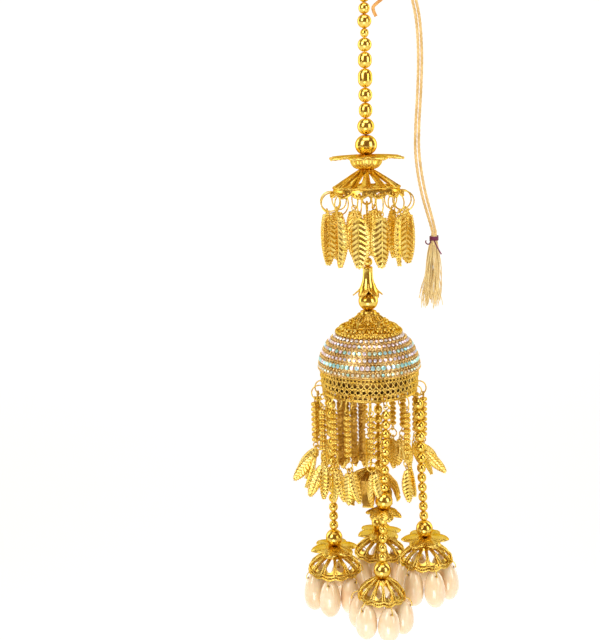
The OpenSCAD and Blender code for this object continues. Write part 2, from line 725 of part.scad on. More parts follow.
module string_beads(s) {
    color(gold) on_string(s) for (k = [0 : len(string_items[s]) - 1]) {
        item = string_items[s][k];
        if (item[0] == BEAD) translate([0, 0, item_z(s, k)]) bead(item[1], item[2]);
    }
}

module string_balls() {
    color(gold) for (s = [0 : len(strings_at) - 1]) on_string(s) for (k = [0 : len(string_items[s]) - 1]) {
        item = string_items[s][k];
        if (item[0] == BALL) translate([0, 0, item_z(s, k)]) bead(item[1], item[2]);
    }
}

// A cap of six leaves over a short flared collar
module leaf_cap(s) {
    collar_r = 3.1;
    color(gold) on_string(s) for (k = [0 : len(string_items[s]) - 1]) {
        item = string_items[s][k];
        if (item[0] == LEAF_CAP) translate([0, 0, item_z(s, k)]) union() {
            petals(6, item[1], 6, bead_bore, sheet, item[1] < 20 ? 2.2 : 1.1);
            difference() {
                translate([0, 0, seat / 2 - item[2]]) cylinder(r1 = collar_r, r2 = 2, h = item[2] - 0.5);
                translate([0, 0, -item[2] - 1]) cylinder(d = bead_bore, h = item[2] + 2);
            }
        }
    }
}

// Places its children at the top of string s's tassel, with the tassel's own turn
module on_tassel(s) {
    on_string(s) translate([0, 0, last_item_z(s)]) rotate(strings_at[s][4]) children();
}

// A tassel cone: windows between its ribs, a lobed rim and a hole in every other lobe
cone_lobes = 2 * drop_count;
cone_top_r = 2.9;
cone_hole_z = -cone_h + 1.1;
function rim_of(s) = cone_r * strings_at[s][5];
function cone_hole_r(s) = rim_of(s) - 0.35 - sheet / 2;

module tassel_cone(s) {
    bow = 0.62;
    rim_r = rim_of(s);
    shoulder_r = cone_top_r + bow * (rim_r - cone_top_r);
    color(gold) on_tassel(s) difference() {
        rotate_extrude() polygon([
            [bead_bore / 2, 0], [cone_top_r, 0], [shoulder_r, -0.4 * cone_h], [rim_r - 0.6, -0.72 * cone_h],
            [rim_r, -cone_h], [rim_r - sheet, -cone_h], [rim_r - 0.6 - sheet, -0.74 * cone_h],
            [shoulder_r - 0.5, -0.4 * cone_h - 0.6], [cone_top_r - 0.3, -1], [bead_bore / 2, -1]
        ]);
        for (i = [0 : cone_lobes - 1]) rotate(i * 360 / cone_lobes) {
            translate([0, 0, -0.82 * cone_h]) linear_extrude(cone_h) cone_window(rim_r);
            rotate(180 / cone_lobes) translate([0.8 * rim_r, 0, -cone_h - 0.2]) rotate([0, 90, 0])
                cylinder(r = 1.1, h = 0.4 * cone_r);
        }
        for (i = [0 : drop_count - 1]) rotate(i * 360 / drop_count)
            translate([0.8 * rim_r, 0, cone_hole_z]) rotate([0, 90, 0]) cylinder(r = 0.62, h = 0.4 * cone_r);
    }
}

module cone_window(rim_r) {
    near = 0.36 * rim_r;
    far = 0.74 * rim_r;
    half = 0.145 * rim_r;
    union() {
        polygon([[near, -0.35], [far, -half], [far, half], [near, 0.35]]);
        translate([far, 0]) circle(r = half);
    }
}

// The drops hang close together: each bail's arch leans through the cone's hole, its straight foot is in the drop
drop_head_r = 3.5;
drop_hole_r = 0.45;
drop_hole_in = 2.4;
drop_hang_r = drop_w / 2 / sin(180 / drop_count) + 0.25;
function bail_foot_z(s) = cone_hole_z - 0.15 - sqrt(pow(bail_r, 2) - pow(cone_hole_r(s) - drop_hang_r, 2));

module ivory_drop() {
    r = drop_w / 2;
    rise = drop_l - r - drop_head_r;
    gain = r - drop_head_r;
    back = (rise * rise - gain * gain) / (2 * gain);
    translate([0, 0, drop_hole_in - drop_head_r - rise]) difference() {
        rotate(90) rotate_extrude() intersection() {
            union() {
                intersection() {
                    circle(r = r, $fn = 64);
                    translate([0, -r]) square([r, r]);
                }
                intersection() {
                    translate([-back, 0]) circle(r = r + back, $fn = 256);
                    square([r + 1, (r + back) * rise / norm([back, rise])]);
                }
                translate([0, rise]) circle(r = drop_head_r + 0.05, $fn = 48);
            }
            translate([0, -r]) square([r, drop_l + 1]);
        }
        translate([-r, 0, rise + drop_head_r - drop_hole_in]) rotate([0, 90, 0])
            cylinder(r = drop_hole_r, h = 2 * r);
    }
}

module string_drops(s) {
    color("ivory") on_tassel(s) translate([0, 0, bail_foot_z(s) - 0.15])
        for (i = [0 : drop_count - 1]) rotate(i * 360 / drop_count)
            translate([drop_hang_r, 0, 0]) ivory_drop();
}

// A fine bail: half a ring over a straight foot that goes through the drop
module bail() {
    rotate([90, 0, 0]) rotate_extrude(angle = 180) translate([bail_r, 0]) circle(d = drop_wire_d);
    translate([-bail_r, 0, 0]) rotate([0, 90, 0]) cylinder(d = drop_wire_d, h = 2 * bail_r);
    for (side = [-1, 1]) translate([side * bail_r, 0, 0]) sphere(d = drop_wire_d);
}

module drop_bails() {
    color(gold) for (s = [0 : len(strings_at) - 1]) on_tassel(s) translate([0, 0, bail_foot_z(s)])
        for (i = [0 : drop_count - 1]) rotate(i * 360 / drop_count) translate([drop_hang_r, 0, 0]) bail();
}

cord_near();
cord_far();
binding_knot();
tie_thread();
cord_fringe();
core_wire();
strand_beads();
neck_bead();
leaf_flower();
fluted_cup();
umbrella();
leaf_rings();
for (i = [1 : leaf_count]) leaf(i - 1);
coil_link();
drop_pin();
centre_bead();
tulip_cap();
drop_ball();
dome_cap();
stone_dome();
pierced_band();
inner_strings();
inner_flower();
bar_rings();
bars();
low_rings();
small_leaves();
string_rings();
string_wires();
string_balls();
string_names = ["front", "right", "back", "left"];
for (s = [0 : 3]) string_beads(s);
for (s = [0 : 3]) leaf_cap(s);
for (s = [0 : 3]) tassel_cone(s);
for (s = [0 : 3]) string_drops(s);
drop_bails();
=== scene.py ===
"""Looks of a kalire bridal ornament: gold beads, stone dome, leaves, ivory drops and silk tie cords."""

import logging
import math
from dataclasses import dataclass, field
from enum import Enum

import bpy
import numpy as np
from mathutils import Matrix

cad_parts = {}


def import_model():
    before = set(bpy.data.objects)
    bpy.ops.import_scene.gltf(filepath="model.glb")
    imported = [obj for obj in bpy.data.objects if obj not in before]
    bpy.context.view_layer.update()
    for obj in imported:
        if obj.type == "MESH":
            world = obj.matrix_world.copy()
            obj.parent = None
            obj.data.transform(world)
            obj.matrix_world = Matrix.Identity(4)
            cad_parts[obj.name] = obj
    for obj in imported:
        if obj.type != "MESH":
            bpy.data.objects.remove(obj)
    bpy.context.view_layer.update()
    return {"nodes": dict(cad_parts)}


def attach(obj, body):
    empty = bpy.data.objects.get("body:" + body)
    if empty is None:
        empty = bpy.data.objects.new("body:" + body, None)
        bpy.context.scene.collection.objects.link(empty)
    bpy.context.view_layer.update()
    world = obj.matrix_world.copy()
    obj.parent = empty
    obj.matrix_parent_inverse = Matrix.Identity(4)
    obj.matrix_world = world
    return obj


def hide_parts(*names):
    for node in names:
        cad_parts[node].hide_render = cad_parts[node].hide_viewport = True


log = logging.getLogger("kalira")
MM = 0.001
# No tube starts along this direction, so that its first side is square to it
ASIDE = (0.13, 0.97, 0.21)
# Steps round and down a ball: the finest grains, and balls whose outline shows
GRAIN, ROUND = (6, 4), (10, 6)


# Places
def turn(axis: str, degrees: float) -> np.ndarray:
    """Right-handed rotation about one of the three axes.

    Args: axis: "x", "y" or "z". degrees: the turn.
    Returns: a 4 by 4 matrix.
    """
    return np.array(Matrix.Rotation(math.radians(degrees), 4, axis.upper()))


def shift(x: float = 0.0, y: float = 0.0, z: float = 0.0) -> np.ndarray:
    """Translation in millimetres.

    Args: x, y, z: how far along each axis.
    Returns: a 4 by 4 matrix.
    """
    place = np.eye(4)
    place[:3, 3] = x, y, z
    return place


def at(place: np.ndarray, points: np.ndarray) -> np.ndarray:
    """Points, of any (..., 3) shape, carried by a place: rotated, then moved."""
    return points @ place[:3, :3].T + place[:3, 3]


def polar(radius: float | np.ndarray, angle: float | np.ndarray, z: float | np.ndarray = 0.0) -> np.ndarray:
    """Points r cos a, r sin a, z, the three broadcast together.

    Args: radius: distance from the axis. angle: radians round it. z: height.
    Returns: the points, with 3 as the last axis.
    """
    r, a, h = np.broadcast_arrays(np.asarray(radius, float), angle, z)
    return np.stack([r * np.cos(a), r * np.sin(a), h], -1)


def circle(count: int, phase: float = 0.0) -> np.ndarray:
    """Angles in radians spread evenly round a full turn, the phase given in steps."""
    return (np.arange(count) + phase) * 2 * np.pi / count


def unit(v: np.ndarray) -> np.ndarray:
    """Vectors divided by their own lengths."""
    return v / np.maximum(np.linalg.norm(v, axis=-1, keepdims=True), 1e-12)


def smooth_line(points: list, steps: int = 8) -> np.ndarray:
    """Catmull-Rom curve: each span is the cubic through its ends with the neighbours' chords as slopes.

    Args: points: the corners. steps: places worked out on each span.
    Returns: an (n, 3) array that passes through every corner.
    """
    p = np.asarray(points, float)
    p = np.vstack([2 * p[0] - p[1], p, 2 * p[-1] - p[-2]])
    t = np.linspace(0, 1, steps, endpoint=False)[None, :, None]
    a, b, c, d = (p[i:len(p) - 3 + i, None, :] for i in range(4))
    spans = 0.5 * (2 * b + (c - a) * t + (2 * a - 5 * b + 4 * c - d) * t**2 + (3 * b - a - 3 * c + d) * t**3)
    return np.vstack([spans.reshape(-1, 3), p[-2]])


# Forms
@dataclass
class Form:
    """A mesh being gathered, in millimetres, from grids that are worked out as whole arrays."""

    points: list = field(default_factory=list)
    faces: list = field(default_factory=list)
    tints: list = field(default_factory=list)
    size: int = 0

    def add(self, points: np.ndarray, faces: np.ndarray, tints: np.ndarray | float = 0.5) -> None:
        """Takes in one patch.

        Args: points: its vertices. faces: their numbers in the patch. tints: one tint for all or one each.
        """
        points = points.reshape(-1, 3)
        self.points.append(points)
        self.faces.append(faces + self.size)
        self.tints.append(np.broadcast_to(tints, (len(points),)))
        self.size += len(points)

    def grid(self, points: np.ndarray, wrap: bool = False, caps: bool = False) -> None:
        """Quads between the neighbours of a (rows, columns, 3) grid.

        Args: points: the grid. wrap: the last column meets the first. caps: end rows close on their middles.
        """
        rows, cols = points.shape[:2]
        r, c = np.meshgrid(np.arange(rows - 1), np.arange(cols if wrap else cols - 1), indexing="ij")
        n = (c + 1) % cols
        quads = np.stack([r * cols + c, r * cols + n, (r + 1) * cols + n, (r + 1) * cols + c], -1)
        self.add(points, quads.reshape(-1, 4))
        if caps:
            k = np.arange(cols)
            for row, back in ((0, True), (rows - 1, False)):
                ring = points[row]
                fan = np.stack([k, (k + 1) % cols, np.full(cols, cols)], -1)
                self.add(np.vstack([ring, ring.mean(0)]), fan[:, ::-1] if back else fan)

    def lathe(self, profile: np.ndarray, place: np.ndarray, sides: int = 24, lobes: int = 0,
              depth: float = 0.0) -> None:
        """Surface of revolution: x = r cos a, y = r sin a, z, with r multiplied by 1 + depth cos(lobes a).

        Args: profile: (n, 2) radii and heights, top first. place: where it stands. sides: steps round it.
        lobes, depth: a ripple round the side.
        """
        p, a = np.asarray(profile, float), circle(sides)
        r = p[:, :1] * (1 + depth * np.cos(lobes * a))
        self.grid(at(place, polar(r, a, p[:, 1:]))[:, ::-1], wrap=True)

    def tube(self, path: np.ndarray, radius: float | np.ndarray, sides: int = 8,
             closed: bool = False) -> None:
        """Tube: centre + radius (cos a side + sin a up), its frame turned as little as the path allows.

        Args: path: (n, 3) centres. radius: one value, one for each centre, or a (centres, sides) table.
        sides: steps round it. closed: the path's end meets its start; otherwise its ends are capped.
        """
        p = np.asarray(path, float)
        ahead = np.roll(p, -1, 0) - np.roll(p, 1, 0)
        if not closed:
            ahead[0], ahead[-1] = p[1] - p[0], p[-1] - p[-2]
        ahead = unit(ahead)
        side = np.zeros_like(p)
        side[0] = unit(np.cross(ahead[0], ASIDE))
        for i in range(1, len(p)):
            side[i] = unit(side[i - 1] - ahead[i] * (side[i - 1] @ ahead[i]))
        up, a, r = np.cross(ahead, side), circle(sides)[None, :, None], np.asarray(radius, float)
        if r.ndim == 1:
            r = r[:, None]
        grid = p[:, None] + r[..., None] * (np.cos(a) * side[:, None] + np.sin(a) * up[:, None])
        if closed:
            grid = np.concatenate([grid, grid[:1]])
        self.grid(grid, wrap=True, caps=not closed)

    def torus(self, place: np.ndarray, radius: float, wire: float, steps: int = 28, sides: int = 8) -> None:
        """Ring about the place's Z axis: a small circle b carried round a large one a, at R + w / 2 cos b.

        Args: place: where it stands. radius: R, to the wire's middle. wire: its thickness w. steps: round the
        ring. sides: round the wire.
        """
        a, b = circle(steps)[:, None], circle(sides)
        grid = at(place, polar(radius + wire / 2 * np.cos(b), a, wire / 2 * np.sin(b)))
        self.grid(np.concatenate([grid, grid[:1]]), wrap=True)

    def scatter(self, points: np.ndarray, faces: np.ndarray, centres: np.ndarray,
                scale: float | np.ndarray = 1.0, turns: np.ndarray | None = None,
                tints: np.ndarray | None = None) -> None:
        """Copies of one small shape at many centres, in one array.

        Args: points, faces: the shape. centres: (n, 3). scale: one for all or one each. turns: (n, 3, 3)
        rotations. tints: a tint for each copy.
        """
        n, v = len(centres), len(points)
        size = np.broadcast_to(np.asarray(scale, float), (n,))[:, None, None]
        copies = points[None] if turns is None else np.einsum("nij,vj->nvi", turns, points)
        numbers = (faces[None] + (np.arange(n) * v)[:, None, None]).reshape(-1, faces.shape[1])
        self.add(copies * size + centres[:, None], numbers, 0.5 if tints is None else np.repeat(tints, v))

    def balls(self, centres: np.ndarray, radius: float | np.ndarray, sides: int = 8, rows: int = 5) -> None:
        """Small balls: latitude rings of radius sin b at height cos b, about each centre.

        Args: centres: (..., 3). radius: one for all or one each. sides, rows: steps round and down each ball.
        """
        self.scatter(*ball_shape(sides, rows), np.asarray(centres, float).reshape(-1, 3), radius)

    def write(self, name: str, smooth: bool = True) -> bpy.types.Object:
        """Writes the mesh in metres into a new object of the scene.

        Args: name: the object's name. smooth: rounded shading.
        Returns: the object.
        """
        mesh = bpy.data.meshes.new(name)
        faces = [row for block in self.faces for row in block.tolist()]
        mesh.from_pydata((np.concatenate(self.points) * MM).tolist(), [], faces)
        mesh.attributes.new("tint", "FLOAT", "POINT").data.foreach_set("value", np.concatenate(self.tints))
        mesh.polygons.foreach_set("use_smooth", np.full(len(faces), smooth))
        mesh.update()
        made = bpy.data.objects.new(name, mesh)
        bpy.context.scene.collection.objects.link(made)
        return made

    def build(self, name: str, finish: "Finish", body: str, smooth: bool = True,
              replaces: tuple = ()) -> bpy.types.Object:
        """Makes a piece of the ornament: its mesh, its finish and the body that it rides on.

        Args: name: the piece's name. finish: its finish. body: the body. smooth: rounded shading.
        replaces: CAD nodes that it stands for.
        Returns: the new object.
        """
        piece = self.write(name, smooth)
        piece.data.materials.append(finish.material())
        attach(piece, body)
        if replaces:
            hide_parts(*replaces)
        log.info("%s: %d faces on %s", name, len(piece.data.polygons), body)
        return piece


def quads_round(rows: int, sides: int) -> np.ndarray:
    """Quads that join each ring of points to the next one down, facing outward.

    Args: rows: how many bands of quads, one less than the rings. sides: points in each ring.
    Returns: an (n, 4) array of vertex numbers.
    """
    r, c = np.meshgrid(np.arange(rows), np.arange(sides), indexing="ij")
    n = (c + 1) % sides
    quads = np.stack([r * sides + c, (r + 1) * sides + c, (r + 1) * sides + n, r * sides + n], -1)
    return quads.reshape(-1, 4)


def ball_shape(sides: int, rows: int) -> tuple[np.ndarray, np.ndarray]:
    """Unit ball: rings of radius sin b at height cos b, the poles drawn in to almost nothing.

    Args: sides: steps round it. rows: steps from pole to pole.
    Returns: its points and its faces.
    """
    pole = 0.02
    b = np.linspace(pole, np.pi - pole, rows + 1)[:, None]
    return polar(np.sin(b), circle(sides), np.cos(b)).reshape(-1, 3), quads_round(rows, sides)


def stone_shape() -> tuple[np.ndarray, np.ndarray]:
    """Cut stone about +Z: rings of eight, each twisted on the last, from a small open table to the pavilion.

    Returns: its points and its faces.
    """
    facets, twist = 8, 0.39
    rings = ((0.12, 0.5), (0.55, 0.5), (1.0, 0.1), (0.9, -0.25))
    points = np.stack([polar(r, circle(facets) + twist * i, z) for i, (r, z) in enumerate(rings)])
    return points.reshape(-1, 3), quads_round(len(rings) - 1, facets)


# Finishes
class Link:
    """A shader value: arithmetic on it adds Math nodes."""

    def __init__(self, shade: "Shade", socket: bpy.types.NodeSocket) -> None:
        """Wraps one output socket of the shade's tree."""
        self.shade, self.socket = shade, socket

    def _math(self, operation: str, *values: "Link | float") -> "Link":
        """One Math node on the values."""
        return self.shade.node("ShaderNodeMath", {"operation": operation}, dict(enumerate(values)))

    def __add__(self, other: "Link | float") -> "Link":
        """self + other."""
        return self._math("ADD", self, other)

    def __mul__(self, other: "Link | float") -> "Link":
        """self times other."""
        return self._math("MULTIPLY", self, other)

    def __sub__(self, other: "Link | float") -> "Link":
        """self - other."""
        return self._math("SUBTRACT", self, other)

    __radd__, __rmul__ = __add__, __mul__


class Shade:
    """One material's node tree with a Principled shader."""

    def __init__(self, name: str) -> None:
        """Makes the material and clears its tree.

        Args: name: the material's name.
        """
        self.material = bpy.data.materials.new(name)
        self.material.use_nodes = True
        self.tree = self.material.node_tree
        self.tree.nodes.clear()
        self.out = self.tree.nodes.new("ShaderNodeOutputMaterial")
        self.shader = self.tree.nodes.new("ShaderNodeBsdfPrincipled")
        self.tree.links.new(self.shader.outputs[0], self.out.inputs[0])

    def node(self, kind: str, settings: dict, inputs: dict, output: int | str = 0) -> Link:
        """Any other node.

        Args: kind: the node's type. settings: its properties, or "stops" for a ramp. inputs: values or links.
        output: which output is wanted.
        Returns: that output as a Link.
        """
        made = self.tree.nodes.new(kind)
        for key, value in settings.items():
            if key == "stops":
                ramp = made.color_ramp
                while len(ramp.elements) < len(value):
                    ramp.elements.new(0.5)
                for stop, (place, colour) in zip(ramp.elements, value):
                    stop.position, stop.color = place, (*colour, 1)
            else:
                setattr(made, key, value)
        for key, value in inputs.items():
            self.put(made.inputs[key], value)
        return Link(self, made.outputs[output])

    def put(self, socket: bpy.types.NodeSocket, value: "Link | float | tuple") -> None:
        """Links one socket, or sets its value.

        Args: socket: an input. value: a Link, or what is set.
        """
        if isinstance(value, Link):
            self.tree.links.new(value.socket, socket)
        else:
            socket.default_value = value

    def place(self) -> Link:
        """Object coordinates."""
        return self.node("ShaderNodeTexCoord", {}, {}, "Object")

    def noise(self, scale: float, detail: float) -> Link:
        """Noise value on Object coordinates, its scale in cycles to the metre."""
        return self.node("ShaderNodeTexNoise", {}, {"Vector": self.place(), "Scale": scale, "Detail": detail})

    def ramp(self, value: Link, stops: list) -> Link:
        """Colour from a value, by stops of (place, colour)."""
        return self.node("ShaderNodeValToRGB", {"stops": stops}, {"Fac": value})

    def bump(self, height: Link, distance: float, strength: float) -> None:
        """Bump into the shader's normal.

        Args: height: what rises. distance: metres for a height of 1. strength: the bump's share.
        """
        self.put(self.shader.inputs["Normal"],
                 self.node("ShaderNodeBump", {},
                           {"Height": height, "Distance": distance, "Strength": strength}))

    def set(self, **values: "Link | float | tuple") -> None:
        """Sets the Principled shader's sockets, with _ in a key for a space."""
        for key, value in values.items():
            self.put(self.shader.inputs[key.replace("_", " ")], value)


class Relief(Enum):
    """What covers a gold surface below the size of the mesh."""

    POLISHED = "polished"
    CAST = "cast"
    BRUSHED = "brushed"


_made: dict = {}


@dataclass(frozen=True)
class Finish:
    """A finish with a name, made once and kept."""

    name: str
    slot: str

    def material(self) -> bpy.types.Material:
        """The finish's material, made at the first call.

        Returns: the material.
        """
        if self.name not in _made:
            shade = Shade(self.name)
            self.paint(shade)
            _made[self.name] = shade.material
        return _made[self.name]

    def paint(self, shade: Shade) -> None:
        """Fills the tree: each kind of finish has its own."""


@dataclass(frozen=True)
class Gold(Finish):
    """Gold plating: two tones in soft patches, with a relief of its own; noises in cycles to the metre."""

    slot: str = "gold_metal"
    bright: tuple = (0.90, 0.68, 0.16)
    deep: tuple = (0.79, 0.52, 0.07)
    roughness: float = 0.16
    relief: Relief = Relief.POLISHED
    broad: float = 260
    fine: float = 2600
    stops: tuple = (0.36, 0.58)
    grazing: tuple = (0.78, 0.46, 0.08, 1)

    def paint(self, shade: Shade) -> None:
        """Tone from a broad noise, roughness from a fine one, and a bump by the kind of relief.

        Args: shade: the tree to fill.
        """
        broad, fine = shade.noise(self.broad, 2), shade.noise(self.fine, 4)
        tone = shade.ramp(broad * 0.7 + fine * 0.3, list(zip(self.stops, (self.deep, self.bright))))
        shade.set(Base_Color=tone, Metallic=1.0, Roughness=fine * 0.16 + (self.roughness - 0.05),
                  Specular_Tint=self.grazing)
        if self.relief is Relief.POLISHED:
            shade.bump(broad * 0.6 + fine * 0.4, 0.00006, 0.25)
        elif self.relief is Relief.CAST:
            shade.bump(shade.noise(900, 3), 0.00014, 0.4)
        else:
            shade.bump(shade.noise(4200, 2), 0.00012, 0.5)


@dataclass(frozen=True)
class Rhinestone(Finish):
    """Foiled clear stones with an iridescent coat: the colour follows the stone's tint and a fine noise."""

    slot: str = "stone_setting"
    coat: tuple = ((0.0, (0.93, 0.95, 0.97)), (0.22, (0.97, 0.80, 0.84)), (0.42, (0.80, 0.74, 0.95)),
                   (0.6, (0.35, 0.84, 0.92)), (0.78, (0.52, 0.95, 0.80)), (1.0, (1.0, 0.86, 0.60)))

    def paint(self, shade: Shade) -> None:
        """Pastel ramp on the tint attribute, with a foil's metallic gleam under a clear coat.

        Args: shade: the tree to fill.
        """
        tint = shade.node("ShaderNodeAttribute", {"attribute_name": "tint"}, {}, "Fac")
        colour = shade.ramp(tint + (shade.noise(1700, 1) - 0.5) * 0.5, list(self.coat))
        shade.set(Base_Color=colour, Metallic=0.45, Roughness=shade.noise(2500, 1) * 0.08 + 0.03,
                  Coat_Weight=0.8, Coat_Roughness=0.02)


@dataclass(frozen=True)
class Ivory(Finish):
    """Glossy cream drops with soft peach clouds and a faint unevenness."""

    slot: str = "ivory_drop"
    clouds: tuple = ((0.3, (0.94, 0.68, 0.41)), (0.5, (0.98, 0.80, 0.54)), (0.68, (1.0, 0.88, 0.66)))
    depth: tuple = (0.004, 0.0022, 0.0014)

    def paint(self, shade: Shade) -> None:
        """Peach and cream in soft clouds under a clear gloss.

        Args: shade: the tree to fill.
        """
        cloud, fine = shade.noise(120, 2), shade.noise(900, 3)
        colour = shade.ramp(cloud * 0.75 + fine * 0.25, list(self.clouds))
        shade.set(Base_Color=colour, Roughness=fine * 0.12 + 0.1, Subsurface_Weight=0.15,
                  Subsurface_Radius=self.depth, Subsurface_Scale=1.0, Coat_Weight=1.0,
                  Coat_Roughness=0.04)
        shade.bump(cloud * 0.5 + fine * 0.5, 0.00015, 0.2)


@dataclass(frozen=True)
class Silk(Finish):
    """Silky thread: a fine fibre noise over a soft change of tone."""

    slot: str = "tie_cord"
    light: tuple = (0.95, 0.71, 0.31)
    dark: tuple = (0.60, 0.37, 0.10)
    sheen: float = 0.5

    def paint(self, shade: Shade) -> None:
        """Tone and bump from a fibre noise.

        Args: shade: the tree to fill.
        """
        fibre, soft = shade.noise(3400, 3), shade.noise(300, 2)
        shade.set(Base_Color=shade.ramp(fibre * 0.55 + soft * 0.45, [(0.36, self.dark), (0.6, self.light)]),
                  Roughness=fibre * 0.3 + 0.35, Sheen_Weight=self.sheen, Sheen_Roughness=0.35)
        shade.bump(fibre, 0.0002, 0.7)


BEAD_GOLD = Gold("bead_gold", roughness=0.17)
CAST_GOLD = Gold("cast_gold", bright=(0.86, 0.65, 0.16), deep=(0.72, 0.47, 0.06), roughness=0.2,
                 relief=Relief.CAST)
BAND_GOLD = Gold("band_gold", bright=(0.82, 0.60, 0.16), deep=(0.66, 0.43, 0.06), roughness=0.2,
                 relief=Relief.BRUSHED)
# Painted shade: near-black gold for the backing behind the band's lattice, standing for the shade inside the
# band
PAINTED_SHADE_BACKING = Gold("painted_shade_backing", bright=(0.36, 0.19, 0.04), deep=(0.18, 0.09, 0.02), roughness=0.4,
                 relief=Relief.CAST)
BAR_GOLD = Gold("bar_gold", bright=(0.84, 0.62, 0.15), deep=(0.68, 0.43, 0.05), roughness=0.18)
WIRE_GOLD = Gold("wire_gold", bright=(0.88, 0.67, 0.17), deep=(0.74, 0.49, 0.07), roughness=0.2,
                 relief=Relief.BRUSHED)
LEAF_GOLD = Gold("leaf_gold", bright=(0.93, 0.73, 0.22), deep=(0.82, 0.57, 0.10), roughness=0.2,
                 relief=Relief.BRUSHED)
# Painted shade: a darker copy of the gold for the inner strings and flower, which sit in shade inside the dome
PAINTED_SHADE_GOLD = Gold("painted_shade_gold", bright=(0.72, 0.46, 0.10), deep=(0.46, 0.25, 0.03), roughness=0.28,
                  relief=Relief.CAST)
DOME_GOLD = Gold("dome_gold", bright=(0.84, 0.63, 0.28), deep=(0.60, 0.40, 0.15), roughness=0.22,
                 relief=Relief.BRUSHED)
STONES = Rhinestone("aurora_stone")
IVORY = Ivory("ivory_gloss")
# Painted shade: the mouths of the drilled holes are coloured dark brown, with no sheen, to stand for the shade
# inside the holes
HOLE_PAINTED_SHADE = Silk("drop_hole_painted_shade", "ivory_drop", (0.42, 0.24, 0.12), (0.22, 0.1, 0.04), 0.0)
PALE_SILK = Silk("pale_gold_silk")
FRINGE_SILK = Silk("fringe_silk", light=(1.0, 0.85, 0.42), dark=(0.93, 0.67, 0.25))
KNOT_SILK = Silk("orange_gold_silk", "knot_cord", (0.90, 0.50, 0.14), (0.62, 0.26, 0.05))
MAROON = Silk("maroon_thread", "maroon_thread", (0.22, 0.02, 0.09), (0.10, 0.01, 0.04), 0.2)


# Sizes
@dataclass(frozen=True)
class Stack:
    """The part's own sizes and the heights that they give down the ornament's axis, in millimetres.

    strand holds each bead's width and pitch as shares of strand_d.
    """

    hang_drop: float = 42.0
    eye_r: float = 1.9
    wire_d: float = 0.9
    eye_play: float = 0.2
    strand_d: float = 5.9
    seat: float = 0.12
    strand: tuple = ((0.80, 0.85), (0.81, 0.80), (1.00, 0.97), (0.61, 0.64), (1.00, 0.98),
                     (1.00, 1.15), (1.03, 1.34), (1.00, 1.05), (0.98, 1.10), (1.24, 1.19))
    neck_d: float = 9.5
    cup_h: float = 5.2
    umbrella_h: float = 7.6
    umbrella_r: float = 14.2
    skirt_h: float = 3.6
    link_l: float = 17.2
    tulip_l: float = 13.0
    ball_d: float = 8.7
    dome_r: float = 22.5
    dome_h: float = 15.4
    cap_r: float = 14.6
    cap_h: float = 10.0
    band_h: float = 10.8
    band_low_r: float = 21.0
    band_flare: float = 1.0
    band_wall: float = 0.9
    ring_hole_up: float = 1.9
    dish_h: float = 0.9
    link_drop: float = 13.0
    small_bead: float = 4.2
    tulip_on_ball: float = 2.2

    @property
    def neck_z(self) -> float:
        """Top of the neck bead."""
        return -self.hang_drop - sum(l for _, l in self.strand) * self.strand_d

    @property
    def flower_z(self) -> float:
        """Top of the leaf flower, under the slightly flat neck bead."""
        return self.neck_z - 0.9 * self.neck_d

    @property
    def cup_z(self) -> float:
        """Top of the fluted cup."""
        return self.flower_z - self.dish_h

    @property
    def umbrella_z(self) -> float:
        """Top of the umbrella."""
        return self.cup_z - self.cup_h - self.seat

    @property
    def tulip_z(self) -> float:
        """Top of the tulip cap, found down through two hooked eyes, the link and the small bead.

        Returns: its height.
        """
        hook = 2 * self.eye_r - self.wire_d - self.eye_play
        pin_eye = self.umbrella_z - self.link_drop - 2 * hook - self.link_l
        return pin_eye - self.eye_r - self.wire_d / 2 - 2 * self.seat - self.small_bead

    @property
    def ball_z(self) -> float:
        """Middle of the ball under the tulip cap."""
        return self.tulip_z - self.tulip_l - self.tulip_on_ball

    @property
    def cap_z(self) -> float:
        """Top of the dome cap."""
        return self.ball_z - self.ball_d / 2

    @property
    def dome_z(self) -> float:
        """Where the dome cap's rim meets the dome."""
        return self.cap_z - self.cap_h

    @property
    def rim_z(self) -> float:
        """Lower edge of the pierced band."""
        return self.dome_z - self.dome_h - 2 * self.seat - self.band_h

    @property
    def hole_z(self) -> float:
        """Height of the ring holes in the band."""
        return self.rim_z + self.ring_hole_up

    def band_r(self, z: float | np.ndarray) -> float | np.ndarray:
        """Radius of the band's outer wall at a height above its lower edge."""
        return self.band_low_r + self.band_flare * z / self.band_h

    def foot(self, turned: float, hang_r: float, ring_r: float) -> np.ndarray:
        """Place at the foot of a jump ring that leans out of its hole.

        Args: turned: degrees round the axis. hang_r: distance from the axis. ring_r: the ring's radius.
        Returns: the place, its X axis pointing outward.
        """
        slack = 0.05
        wall_r = self.band_r(self.ring_hole_up) - self.band_wall / 2
        lean = math.asin((hang_r - wall_r) / (2 * ring_r))
        return turn("z", turned - 90) @ shift(hang_r, 0, self.hole_z - slack - 2 * ring_r * math.cos(lean))


STACK = Stack()
# Bars round the band: degrees from the front, how far the small leaf splays out, and how far it is twisted
BARS_AT = ((-90, 40, 80), (-61, 28, 60), (-43, 3, -15), (-27, 0, 10), (-3, -2, 55), (36, 4, -20),
           (97, 40, 62), (117, 48, 85), (137, 20, 60), (150, 2, 0), (182, 0, 20), (206, 5, -20),
           (228, 12, 0), (249, 42, 80))
# Bead strings: degrees from the front, distance from the axis, lean outward, lean sideways, the cone's turn
STRINGS_AT = ((13.5, 23.2, 0, -2, 1.5), (82, 21.6, 2.6, 0, -9), (165, 21, 0, 0, 15), (-78, 18, 0, 0, 2))


